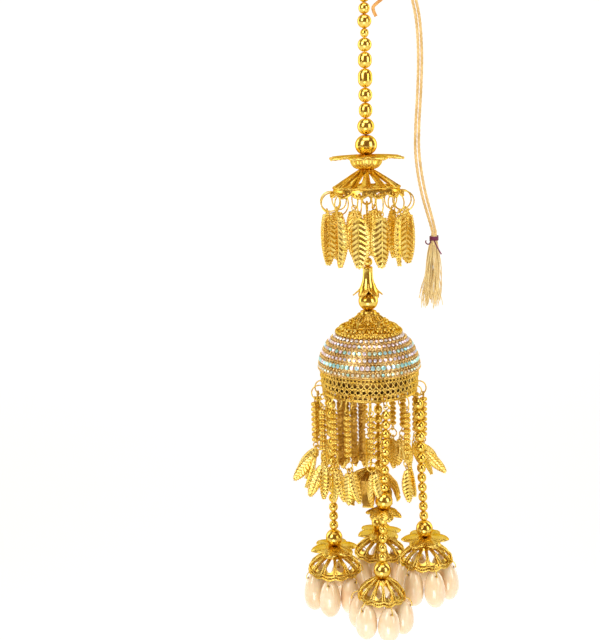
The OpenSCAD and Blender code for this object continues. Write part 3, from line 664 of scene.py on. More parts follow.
# Leaves
@dataclass(frozen=True)
class Leaf:
    """A pressed leaf that hangs from its head: midrib, veins that slant to the tip, and a beaded edge."""

    length: float
    width: float
    bulge_r: float
    thick: float
    veins: int
    beads: int
    rows: int = 64
    cols: int = 22
    vein_slant: float = 0.646
    head_share: float = 0.36
    tip_share: float = 0.09

    def half_width(self, y: np.ndarray) -> np.ndarray:
        """Half the width at a height: the least of two long arcs, the round head and the small round tip.

        Args: y: heights, 0 at the head and -length at the tip.
        Returns: half the width at each.
        """
        l, w = self.length, self.width
        arc = ((1.18 * l) ** 2 + w * w) / (4 * w)
        side = np.sqrt(np.maximum(arc**2 - (y + 0.46 * l) ** 2, 0)) - (arc - w / 2)
        head, tip = self.head_share * w, self.tip_share * w
        top = np.sqrt(np.maximum(head**2 - np.maximum(y + head, 0) ** 2, 0)) + np.where(y < -head, w, 0)
        low = np.sqrt(np.maximum(tip**2 - np.minimum(y + l - tip, 0) ** 2, 0)) + np.where(y > tip - l, w, 0)
        return np.minimum(side, np.minimum(top, low))

    def dish(self, x: np.ndarray) -> np.ndarray:
        """Bow of the blade at a distance x from its midrib: sqrt(R^2 - x^2) - R, R being bulge_r."""
        return np.sqrt(self.bulge_r**2 - x**2) - self.bulge_r

    def add(self, form: Form, place: np.ndarray) -> None:
        """Adds the blade's two skins and its edge beads.

        A skin is the dish with half the thickness, the veins' (0.5 + 0.5 cos)^2 and a bell curve for the
        midrib added in front or taken off behind.

        Args: form: takes them. place: the head's place, bulging along its +Y.
        """
        v, u = np.linspace(0.004, 0.996, self.rows)[:, None], np.linspace(-1, 1, self.cols)
        y = -self.length * v
        x = u * self.half_width(y)
        wave = 0.5 + 0.5 * np.cos(2 * np.pi * self.veins * (v - self.vein_slant * np.abs(x) / self.length))
        fade = np.clip((1 - np.abs(u)) * 5, 0, 1) * np.clip(np.abs(u) * 7 - 0.3, 0, 1)
        midrib = np.exp(-((x / (0.055 * self.width)) ** 2))
        body = 0.5 * np.sqrt(np.clip(1.02 - u**4, 0, 1))
        skin = self.thick * (body + 0.42 * wave**2 * fade + 0.55 * midrib)
        for side in (1, -1):
            grid = at(place, np.stack(np.broadcast_arrays(x, self.dish(x) + side * skin, y), -1))
            form.grid(grid if side > 0 else grid[:, ::-1])
        y = -self.length * np.linspace(0.05, 0.955, self.beads // 2)
        x = self.half_width(y) - 0.1
        rim = np.concatenate([np.stack([side * x, self.dish(x), y], -1) for side in (1, -1)])
        form.balls(at(place, rim), 0.062 * self.width + 0.12, 7, 4)


@dataclass
class LeafRing:
    """Twelve large leaves under the umbrella."""

    count: int = 12
    ring_r: float = 4.3
    hole_out: float = 0.5
    hole_down: float = 0.2
    lean: float = 22.0
    eyelet_r: float = 1.05
    eyelet_wire: float = 0.6
    eyelet_up: float = 0.78
    head_gap: float = 0.95
    turns: tuple = (-64, -22, 10, 4, -10, 62, -60, -16, -4, 10, 26, 58)
    leaf: Leaf = Leaf(21.9, 8.6, 9.0, 0.8, 10, 38)

    def build(self) -> None:
        """Makes each leaf in its node's place, with its eyelet."""
        hole_r = STACK.umbrella_r + self.hole_out
        hole_z = STACK.umbrella_z - STACK.umbrella_h - 0.5 * STACK.skirt_h - self.hole_down
        lean = math.radians(self.lean)
        hang_r = hole_r + 2 * self.ring_r * math.sin(lean)
        hang_z = hole_z - 2 * self.ring_r * math.cos(lean) - self.eyelet_r + self.eyelet_up
        for i in range(self.count):
            form = Form()
            top = turn("z", (i + 0.5) * 360 / self.count - 90) @ shift(0, hang_r, hang_z)
            form.torus(top @ turn("x", 90), self.eyelet_r, self.eyelet_wire)
            self.leaf.add(form, top @ turn("z", self.turns[i]) @ shift(z=-self.head_gap))
            form.build(f"large_leaf_{i + 1}", LEAF_GOLD, "hanger", replaces=(f"leaf_{i + 1}",))


# Beads
def bead_profile(d: float, length: float, rows: int = 14) -> np.ndarray:
    """Outer profile of a drilled bead: r = c + R cos a, z = R sin a, a long one parted by a straight waist.

    Args: d: the bead's width. length: its pitch on the wire. rows: steps of the bow.
    Returns: (n, 2) radii and heights, from z = 0 down to z = -length.
    """
    bore_r, lip = 0.65, 0.35
    bow = d / 2 if length > d else (length**2 + d**2) / (4 * d)
    waist, low, middle = max(0.0, (length - d) / 2), (length - STACK.seat) / 2, d / 2 - bow
    limit = min(math.sqrt(bow**2 - (bore_r - middle) ** 2), low - waist)
    start = math.asin(min(1.0, limit / bow))
    a = np.linspace(start, -start, rows)
    z = bow * np.sin(a)
    z = np.where(z > 0, z + waist, np.where(z < 0, z - waist, z))
    ends = np.array([[bore_r, low - lip], [bore_r, low]])
    side = np.stack([middle + bow * np.cos(a), z], -1)
    return np.vstack([ends, side, (ends * [1, -1])[::-1]]) - [0, length / 2]


@dataclass
class BeadStrand:
    """The strand of mirror-like beads over the neck bead."""

    def build(self) -> None:
        """Makes the ten beads and the neck bead, each from its share of the strand's width."""
        form, z = Form(), -STACK.hang_drop
        for share, long in STACK.strand:
            form.lathe(bead_profile(share * STACK.strand_d, long * STACK.strand_d, rows=18), shift(z=z), 36)
            z -= long * STACK.strand_d
        form.build("strand_of_beads", BEAD_GOLD, "hanger", replaces=("strand_beads",))
        neck = Form()
        neck.lathe(bead_profile(STACK.neck_d, 0.9 * STACK.neck_d, rows=24), shift(z=z), 48)
        neck.build("round_neck_bead", BEAD_GOLD, "hanger", replaces=("neck_bead",))


# Crown
@dataclass
class Crown:
    """Leaf flower, fluted cup and ribbed umbrella."""

    petals: int = 8
    span: float = 33.0
    hub_d: float = 7.0
    cup_d: float = 13.5
    cup_low_r: float = 2.8
    cup_bore_r: float = 0.65
    cup_wall: tuple = (0.75, 0.7)
    flutes: int = 14
    flute_depth: float = 0.075
    lip_wire: float = 0.8
    ribs: int = 12
    rib_start: float = 2.6
    rib_wire: float = 0.36
    lobe_half: float = 14.5
    lobe_wire: float = 0.42
    upper_wire: float = 0.32
    grain_r: float = 0.42
    ridge: tuple = (60, 0.5)
    collar: tuple = (3.0, 0.8)

    def build(self) -> None:
        """Makes the crown's three pieces."""
        self.flower()
        self.cup()
        self.umbrella()

    def flower(self) -> None:
        """Flat petals with a raised midrib, side veins and a rolled edge."""
        form = Form()
        add_petals(form, shift(z=STACK.flower_z), self.petals, self.span, self.hub_d, STACK.dish_h)
        form.build("flat_leaf_flower", LEAF_GOLD, "hanger")

    def cup(self) -> None:
        """Bowl of radius r0 + (r1 - r0) sin a^0.9 at height -h cos a, rippled into flutes, its lip rolled."""
        form, place = Form(), shift(z=STACK.cup_z)
        a = np.linspace(0, np.pi / 2, 14)
        top_r, low_r, h = self.cup_d / 2, self.cup_low_r, STACK.cup_h - STACK.seat
        outer = np.stack([low_r + (top_r - low_r) * np.sin(a) ** 0.9, -h * np.cos(a)], -1)
        inner = outer + [-self.cup_wall[0], self.cup_wall[1]]
        bore = self.cup_bore_r
        line = np.vstack([[bore, 0.6 - h], inner[:-3], outer[::-1], [bore, -h]])
        form.lathe(line, place, 12 * self.flutes, self.flutes, self.flute_depth)
        form.torus(place @ shift(z=-0.35), top_r - 0.1, self.lip_wire, 48)
        form.build("rippled_cup", BEAD_GOLD, "hanger")

    def umbrella(self) -> None:
        """Pairs of wires down the ribs, lobes of wire round the skirt and grains between them.

        A lobe dips as a half cosine over its 29 degrees and stands out by the same curve.
        """
        form, place = Form(), shift(z=STACK.umbrella_z)
        r, h, skirt = STACK.umbrella_r, STACK.umbrella_h, STACK.skirt_h
        t = np.linspace(0, 1, 9)
        dip = np.cos(np.linspace(-np.pi / 2, np.pi / 2, 17))
        for i in range(self.ribs):
            middle = i * 360 / self.ribs
            for side in (-1, 1):
                a = np.radians(middle + side * (1.0 + 4.0 * t**1.5))
                line = polar(self.rib_start + (r - self.rib_start + 0.3) * t, a, 0.15 - h * t**1.06)
                form.tube(at(place, line), self.rib_wire, 7)
            a = np.radians(middle + 180 / self.ribs + np.linspace(-self.lobe_half, self.lobe_half, 17))
            lobe = polar(r + 0.9 + 0.9 * dip, a, -h - (0.55 + 0.45 * dip) * skirt)
            form.tube(at(place, lobe), self.lobe_wire, 7)
            form.tube(at(place, polar(r + 0.35, a, -h - 0.1 + 0.5 * dip)), self.upper_wire, 7)
            form.balls(at(place, lobe[2:-2:3] + [0, 0, 1.1]), self.grain_r)
        count, size = self.ridge
        form.balls(at(place, polar(r + 0.1, circle(count), 0.25 - h)), size)
        form.torus(place @ shift(z=-0.25), *self.collar, 32)
        form.build("umbrella_ribs_and_lobes", WIRE_GOLD, "hanger")


def add_petals(form: Form, place: np.ndarray, count: int, span: float, hub_d: float, drop: float) -> None:
    """Petals over a shallow dish z = sqrt(R^2 - r^2) - R, each bounded by two arcs, with veins pressed in.

    Args: form: takes them. place: the hub's top. count, span, hub_d, drop: as the part's petals.
    """
    thick, lift, veins, rim_r, tip_r = 0.35, 0.12, 7, 0.5, 0.62
    dish = (span**2 / 4 + drop**2) / (2 * drop)
    long, wide = span / 2 - hub_d / 4, 2 * span / count
    arc = (long**2 + wide**2) / (4 * wide)
    v, u = np.linspace(0.0, 0.995, 30)[:, None], np.linspace(-1, 1, 15)
    along = hub_d / 4 + long * v
    half = np.maximum(np.sqrt(np.maximum(arc**2 - (long * (v - 0.5)) ** 2, 0)) - (arc - wide / 2), 0.02)
    x = u * half
    wave = 0.5 + 0.5 * np.cos(2 * np.pi * (veins * v - 0.22 * np.abs(x)))
    relief = wave**2 * np.clip(np.abs(u) * 6 - 0.5, 0, 1) * np.clip((1 - np.abs(u)) * 6, 0, 1)
    relief = 0.3 * (relief + np.exp(-((x / 0.45) ** 2)))
    z = np.sqrt(np.maximum(dish**2 - along**2 - x**2, 0)) - dish - thick
    close = np.sqrt(np.clip(1 - u**10, 0, 1) * np.clip((0.995 - v) * 12, 0, 1) * np.clip(v * 12, 0, 1))
    sides = [np.stack([k * half[2:, 0], along[2:, 0], z[2:, -1]], -1) for k in (-1, 1)]
    edge = np.concatenate([sides[0], sides[1][::-1]])
    for i in range(count):
        stand = place @ turn("z", (i + 0.5) * 360 / count)
        for side in (1, -1):
            level = z + side * (thick + lift + relief) * close
            grid = at(stand, np.stack(np.broadcast_arrays(x, along, level), -1))
            form.grid(grid[:, ::-1] if side > 0 else grid)
        form.tube(at(stand, edge), rim_r)
        form.balls(at(stand, edge[len(edge) // 2] + [0, 0.05, -0.1]), tip_r, *ROUND)


# Tulip and its beads
@dataclass
class CentreLine:
    """The ball, the tulip cap and the small bead between the link and the dome."""

    tulip_line: tuple = ((0.95, 0), (2.1, -0.1), (2.15, -2.4), (2.4, -5.46), (3.19, -8.06), (4.39, -10.4),
                         (6.75, -12.87))
    neck_end: float = -9.1
    petal_start: float = -7.15
    petals: int = 5
    petal_half: float = 35.0
    skin: float = 0.5
    rim_r: float = 0.27

    def build(self) -> None:
        """Makes the smooth ball, the small bead above the tulip and the tulip's own skin."""
        ball, bead = Form(), Form()
        top = STACK.ball_z + STACK.ball_d / 2
        ball.lathe(bead_profile(STACK.ball_d, STACK.ball_d, rows=22), shift(z=top), 44)
        ball.build("ball_under_tulip", BEAD_GOLD, "drop", replaces=("drop_ball",))
        top = STACK.tulip_z + STACK.seat + STACK.small_bead
        bead.lathe(bead_profile(STACK.small_bead, STACK.small_bead), shift(z=top), 28)
        bead.build("bead_over_tulip", CAST_GOLD, "drop", replaces=("centre_bead",))
        self.tulip()

    def tulip(self) -> None:
        """Slim neck that flares into five pointed petals, each narrowing as 1 - s^1.7 over its last third."""
        form, place = Form(), shift(z=STACK.tulip_z)
        line = smooth_line([(r, 0, z) for r, z in self.tulip_line], 7)[:, ::2]
        neck = line[line[:, 1] > self.neck_end]
        form.lathe(np.vstack([neck, neck[::-1] - [self.skin, 0]]), place, 40)
        low = line[line[:, 1] < self.petal_start]
        share = np.clip((-low[:, 1:] / STACK.tulip_l - 0.68) / 0.31, 0, 1)
        u = np.linspace(-1, 1, 13)
        fold = 0.5 * share * (1 - np.abs(u)) ** 2
        for middle in circle(self.petals, 0.25):
            a = middle + u * np.radians(self.petal_half) * (1 - share**1.7)
            outer, inner = (at(place, polar(low[:, :1] + fold - inset, a, low[:, 1:] + 0.3 * inset))
                            for inset in (0.0, self.skin))
            form.grid(outer[:, ::-1])
            form.grid(inner)
            form.tube(np.concatenate([outer[:, 0], outer[::-1, -1]]), self.rim_r, 7)
        form.build("flared_tulip", BEAD_GOLD, "drop", replaces=("tulip_cap",))


# Dome
@dataclass
class Dome:
    """Stones and claws on the dome, the bell cap with its beads and wreath, and the band's wire lattice.

    shares gives the wall: share of the height, share of the way out. A stone row is height share, count,
    radius and tint. A cap row is height, count and radius. A band wire is height and thickness. An eye row is
    phase, height and half height.
    """

    shares: tuple = ((0, 0), (0.11, 0.25), (0.25, 0.51), (0.43, 0.7), (0.6, 0.85), (0.83, 0.96), (1, 1))
    stone_rows: tuple = ((0.055, 44, 0.78, 0.05), (0.18, 50, 0.74, 0.3), (0.34, 54, 0.8, 0.62),
                         (0.515, 58, 0.74, 0.25), (0.715, 60, 0.98, 0.66), (0.91, 64, 0.66, 0.95))
    stone_out: float = 0.45
    tint_spread: float = 0.16
    claw_out: float = 0.3
    claw_off: float = 0.047
    claw_r: float = 0.44
    grain_rows: tuple = (0.115, 0.26, 0.43, 0.615, 0.815, 0.985)
    grain_count: int = 84
    grain_r: float = 0.5
    cap_line: tuple = ((2.2, 0), (3.2, -0.05), (3.4, -0.9), (4.7, -2.2), (6.6, -4.0), (8.9, -5.6),
                       (11.2, -6.9), (13.0, -8.0), (14.1, -9.2), (14.4, -9.9))
    cap_rows: tuple = ((-1.9, 20, 0.52), (-4.1, 30, 0.36), (-5.9, 44, 0.36), (-9.25, 44, 0.82))
    cap_balls: tuple = (-5.0, 15, 0.78)
    cap_rings: tuple = (-0.5, -6.3, -8.5)
    cap_wall: float = 0.5
    rays: int = 24
    ray_span: tuple = (-2.4, -3.7)
    wreath: int = 20
    wreath_span: tuple = (-8.15, -6.65)
    wreath_open: tuple = (1.5, 7.0)
    band_wires: tuple = ((0.2, 0.85), (0.85, 0.6), (3.0, 0.6), (5.75, 0.6), (8.95, 0.6), (10.45, 0.9))
    arch: float = 6.0
    arch_foot: float = 0.95
    arch_rise: float = 1.75
    arch_r: float = 0.27
    post_balls: tuple = (2.55, 0.5)
    block: tuple = (0.7, 2.9)
    eyes: int = 52
    eye_half: float = 2.75
    eye_rows: tuple = ((0.0, 7.35, 1.3), (0.5, 4.4, 1.05))
    eye_r: float = 0.34
    top_row: tuple = (80, 9.7, 0.55)
    backing: tuple = (0.45, 0.9)
    backing_span: tuple = (2.6, 10.5)

    def wall_r(self, t: float) -> float:
        """Radius of the dome's wall, read from the table of shares.

        Args: t: share of the dome's height, from its top.
        Returns: the radius.
        """
        down, out = np.array(self.shares).T
        top = STACK.cap_r - 0.6
        return top + np.interp(t, down, out) * (STACK.dome_r - top)

    def row(self, t: float, count: int, out: float, phase: float = 0.0) -> tuple[np.ndarray, np.ndarray]:
        """Points round one row of the wall, standing off it along its normal, and turns that face that way.

        Args: t: share of the dome's height. count: how many. out: how far off the wall. phase: in steps.
        Returns: (count, 3) points and (count, 3, 3) rotations with Z along the wall's outward normal.
        """
        near = 0.06
        slope = np.arctan2(self.wall_r(t + near) - self.wall_r(t - near), 2 * near * STACK.dome_h)
        a, z = circle(count, phase), STACK.dome_z - STACK.seat - t * STACK.dome_h
        normal, across = polar(np.cos(slope), a, np.sin(slope)), polar(1.0, a + np.pi / 2)
        turns = np.stack([across, np.cross(normal, across), normal], -1)
        return polar(self.wall_r(t), a, z) + out * normal, turns

    def build(self) -> None:
        """Makes the stones and claws, the cap, and the band with its backing."""
        self.stones()
        self.cap()
        self.band()

    def stones(self) -> None:
        """Rows of cut stones between claw rows; a stone's tint is its row's with a normal draw added."""
        stones, claws = Form(), Form()
        rng = np.random.default_rng(7)
        shape = stone_shape()
        for t, count, radius, tint in self.stone_rows:
            points, turns = self.row(t, count, self.stone_out)
            tints = np.clip(tint + rng.normal(0, self.tint_spread, count), 0, 1)
            stones.scatter(*shape, points, radius, turns, tints)
            for side in (-1, 1):
                points, _ = self.row(t + side * self.claw_off, count, self.claw_out, 0.5)
                claws.balls(points, self.claw_r, *GRAIN)
        for t in self.grain_rows:
            points, _ = self.row(t, self.grain_count, self.claw_out)
            claws.balls(points, self.grain_r, *GRAIN)
        stones.build("stone_rows", STONES, "drop", smooth=False)
        claws.build("claw_rows", DOME_GOLD, "drop")

    def cap(self) -> None:
        """Bell-shaped skin; down it beads, rays, balls between rows of grains, a leaf wreath and the rim."""
        form, place = Form(), shift(z=STACK.cap_z)
        line = smooth_line([(r, 0, z) for r, z in self.cap_line], 5)[:, ::2]
        inner = np.maximum(line[::-1] - self.cap_wall, [0, -STACK.cap_h])
        form.lathe(np.vstack([line, inner, line[:1]]), place, 72)

        def spots(z: float | np.ndarray, degrees: float | np.ndarray, out: float = 0.2) -> np.ndarray:
            """Points on the skin at a height and an angle, standing off it by out."""
            r = np.interp(-np.asarray(z), -line[:, 1], line[:, 0]) + out
            return at(place, polar(r, np.radians(degrees), z + out))

        for z, count, size in self.cap_rows:
            form.balls(spots(z, np.arange(count) * 360 / count), size)
        z, count, size = self.cap_balls
        form.balls(spots(z, np.arange(count) * 360 / count, 0.3), size, *ROUND)
        for z in self.cap_rings:
            form.torus(place @ shift(z=z + 0.1), np.interp(-z, -line[:, 1], line[:, 0]) + 0.1, 0.5, 64, 6)
        t = np.linspace(0, 1, 6)
        for i in range(self.rays):
            form.tube(spots(np.linspace(*self.ray_span, 6), i * 360 / self.rays), 0.18 + 0.2 * t, 5)
        z, open_by = np.linspace(*self.wreath_span, 6), np.linspace(*self.wreath_open, 6)
        for i in range(self.wreath):
            for side in (-1, 1):
                leaf = spots(z, i * 360 / self.wreath + side * open_by, 0.3)
                form.tube(leaf, 0.2 + 0.45 * np.sin(np.pi * t), 6)
        form.build("bell_cap_and_wreath", CAST_GOLD, "drop", replaces=("dome_cap",))

    def posts(self) -> list:
        """Feet of the arches: each gap between two hanging rings is cut into even arches of about one width.

        Returns: each foot's degrees, and whether a ring hangs in the arch after it.
        """
        hung = np.sort([(place[0] - 90.0) % 360 for place in (*BARS_AT, *STRINGS_AT)])
        found: list = []
        for low, gap in zip(hung, (np.roll(hung, -1) - hung) % 360):
            n = round(gap / self.arch)
            found += [(low + (k + 0.5) * gap / n, k == n - 1) for k in range(n)]
        return found

    def band(self) -> None:
        """Rim wires, arches that each ring hangs in, and two rows of wire eyes that stand off a backing painted
        near black as the shade inside the band.

        An arch rises as a half circle, sqrt(1 - s^2). An eye is d + w cos a degrees round and z + h sin a up.
        """
        form, backing = Form(), Form()

        def spots(degrees: float | np.ndarray, z: float | np.ndarray, out: float = 0.0) -> np.ndarray:
            """Points on the band's outer wall at an angle and a height above its lower edge."""
            return polar(STACK.band_r(z) + out, np.radians(degrees), STACK.rim_z + z)

        for z, wire in self.band_wires:
            form.torus(shift(z=STACK.rim_z + z), STACK.band_r(z) - 0.05, wire, 110, 6)
        near, far = (-depth for depth in self.backing)
        low, high = self.block
        corners = ((low, near - 0.05), (high, near - 0.05), (high, far), (low, far))
        s, posts = np.linspace(-1, 1, 11), self.posts()
        for (left, ring_here), (right, _) in zip(posts, posts[1:] + posts[:1]):
            sweep = left + (right - left) % 360 * (s + 1) / 2
            form.tube(spots(sweep, self.arch_foot + self.arch_rise * np.sqrt(1 - s**2)), self.arch_r, 6)
            if not ring_here:
                # Blocks of the near-black backing, painted shade, fill the arches where no ring hangs
                block = np.stack([spots(sweep[2:-2], z, out) for z, out in corners], 1)
                backing.grid(block, wrap=True, caps=True)
        z, size = self.post_balls
        form.balls(spots(np.array([degrees for degrees, _ in posts]), z, 0.1), size)
        step, a = 360 / self.eyes, circle(14)
        for phase, z, tall in self.eye_rows:
            turns = (np.arange(self.eyes) + phase) * step
            for degrees in turns:
                eye = spots(degrees + self.eye_half * np.cos(a), z + tall * np.sin(a))
                form.tube(eye, self.eye_r, 5, closed=True)
            form.balls(spots(turns + step / 2, z, 0.25), 0.45, *GRAIN)
            form.balls(spots(turns + step / 2, z + tall, 0.05), 0.42, *GRAIN)
        count, z, size = self.top_row
        form.balls(spots(np.arange(count) * 360 / count, z), size, *GRAIN)
        low, high = self.backing_span
        edge = np.array([[near, high], [near, low], [far, low], [far, high], [near, high]])
        edge[:, 0] += STACK.band_r(edge[:, 1])
        backing.lathe(edge, shift(z=STACK.rim_z), 110)
        form.build("band_lattice", BAND_GOLD, "drop", replaces=("pierced_band",))
        # The backing's near-black gold is painted shade
        backing.build("band_backing_painted_shade", PAINTED_SHADE_BACKING, "drop")


# Bars
@dataclass
class BarFringe:
    """Fourteen granulated bars and the small leaves below them."""

    bar_r: float = 24.9
    ring_r: float = 3.4
    bar_l: float = 20.0
    granule_d: float = 3.3
    eyelet_r: float = 1.1
    eyelet_wire: float = 0.6
    low_ring_r: float = 2.0
    grip: float = 0.72
    levels: int = 8
    granule_r: float = 1.06
    granule_out: float = 0.78
    core_r: float = 0.8
    leaf: Leaf = Leaf(15.0, 5.3, 6.0, 0.7, 9, 32, 44, 16)

    def build(self) -> None:
        """Makes the bars with their granules, then the small leaves with their eyelets."""
        bars, leaves = Form(), Form()
        eye_drop = self.eyelet_r - 0.96
        foot_z = -eye_drop - 2 * self.eyelet_r - self.bar_l + 0.4
        ring_z = foot_z - self.eyelet_r - self.low_ring_r + self.grip
        pitch = (self.bar_l - self.granule_d) / (self.levels - 1)
        z = -eye_drop - self.eyelet_r + 0.2 - self.granule_d / 2 - np.arange(self.levels) * pitch
        for turned, splay, twist in BARS_AT:
            foot = STACK.foot(turned, self.bar_r, self.ring_r)
            bars.torus(foot @ shift(z=-eye_drop) @ turn("y", 90), self.eyelet_r, self.eyelet_wire, 20, 6)
            bars.torus(foot @ shift(z=foot_z) @ turn("x", 90), self.eyelet_r, self.eyelet_wire, 20, 6)
            bars.balls(at(foot, polar(self.granule_out, circle(4), z[:, None])), self.granule_r, 11, 7)
            bars.balls(at(foot, polar(0.0, 0.0, (z[1:] + z[:-1]) / 2)), self.core_r, 10, 4)
            first = foot @ shift(z=ring_z - self.low_ring_r) @ turn("y", -splay)
            # The second leaf hangs on the same low ring, swung 46 degrees along it and partly righted
            second = foot @ shift(z=ring_z) @ turn("x", 46) @ shift(z=-self.low_ring_r) @ turn("x", -34)
            second = second @ turn("y", 4 - 0.55 * splay)
            for hang, spin in ((first, twist), (second, 70 - 0.7 * twist)):
                hang = hang @ shift(z=self.grip - self.eyelet_r)
                leaves.torus(hang @ turn("x", 90), self.eyelet_r, self.eyelet_wire, 20, 6)
                self.leaf.add(leaves, hang @ turn("z", spin - 90) @ shift(z=0.1 - self.eyelet_r))
        bars.build("granulated_bars", BAR_GOLD, "drop", replaces=("bars",))
        leaves.build("small_pressed_leaves", LEAF_GOLD, "drop", replaces=("small_leaves",))


@dataclass
class InnerWork:
    """Granulated strings and the drooping flower inside the ring of bars."""

    strings: tuple = ((-13.4, 2.0), (-10.5, 6.4), (-7.0, 9.8), (-7.1, 2.8), (-3.4, 6.6))
    top: float = 6.0
    reach: float = 38.0
    grain_rows: int = 22
    grain_out: float = 1.1
    grain_r: float = 0.74
    span: float = 27.0
    height: float = 13.0
    droop: tuple = ((0.2, 0), (0.62, -0.22), (0.92, -0.6), (1.0, -1.0))
    petals: int = 9
    rib_gap: float = 11.0
    rib_r: float = 0.3
    edge_r: float = 0.5

    def build(self) -> None:
        """Adds grains to the strings, and three ribs and a bright lower edge to each petal of the flower."""
        form, flower, inner = Form(), Form(), STACK.rim_z - self.reach
        z = np.linspace(STACK.rim_z + self.top - 1.2, inner + 2.6, self.grain_rows)
        for x, y in self.strings:
            form.balls(polar(self.grain_out, circle(5), z[:, None]) + [x, y, 0], self.grain_r, *GRAIN)
        # The inner grains take the darker gold as painted shade
        form.build("inner_string_grains", PAINTED_SHADE_GOLD, "drop")
        r, t, even = self.span / 2, np.linspace(0, 1, 12), np.linspace(0, 1, len(self.droop))
        out, down = (np.interp(t, even, shares) for shares in np.array(self.droop).T)
        for middle in (np.arange(self.petals) + 0.5) * 360 / self.petals:
            for k in (-1, 0, 1):
                a = math.radians(middle + k * self.rib_gap)
                line = polar(out * r + 0.15, a, inner + down * self.height)
                flower.tube(line[:11] if k else line, self.rib_r, 6)
            a = np.radians(middle + np.linspace(-self.rib_gap, self.rib_gap, 9))
            flower.tube(polar(r - 0.2, a, inner - self.height), self.edge_r, 7)
        flower.build("inner_flower_ribs", CAST_GOLD, "drop")


# Tassels
class Item(Enum):
    """What is threaded on a string."""

    BEAD = "bead"
    BALL = "ball"
    LEAVES = "leaves"


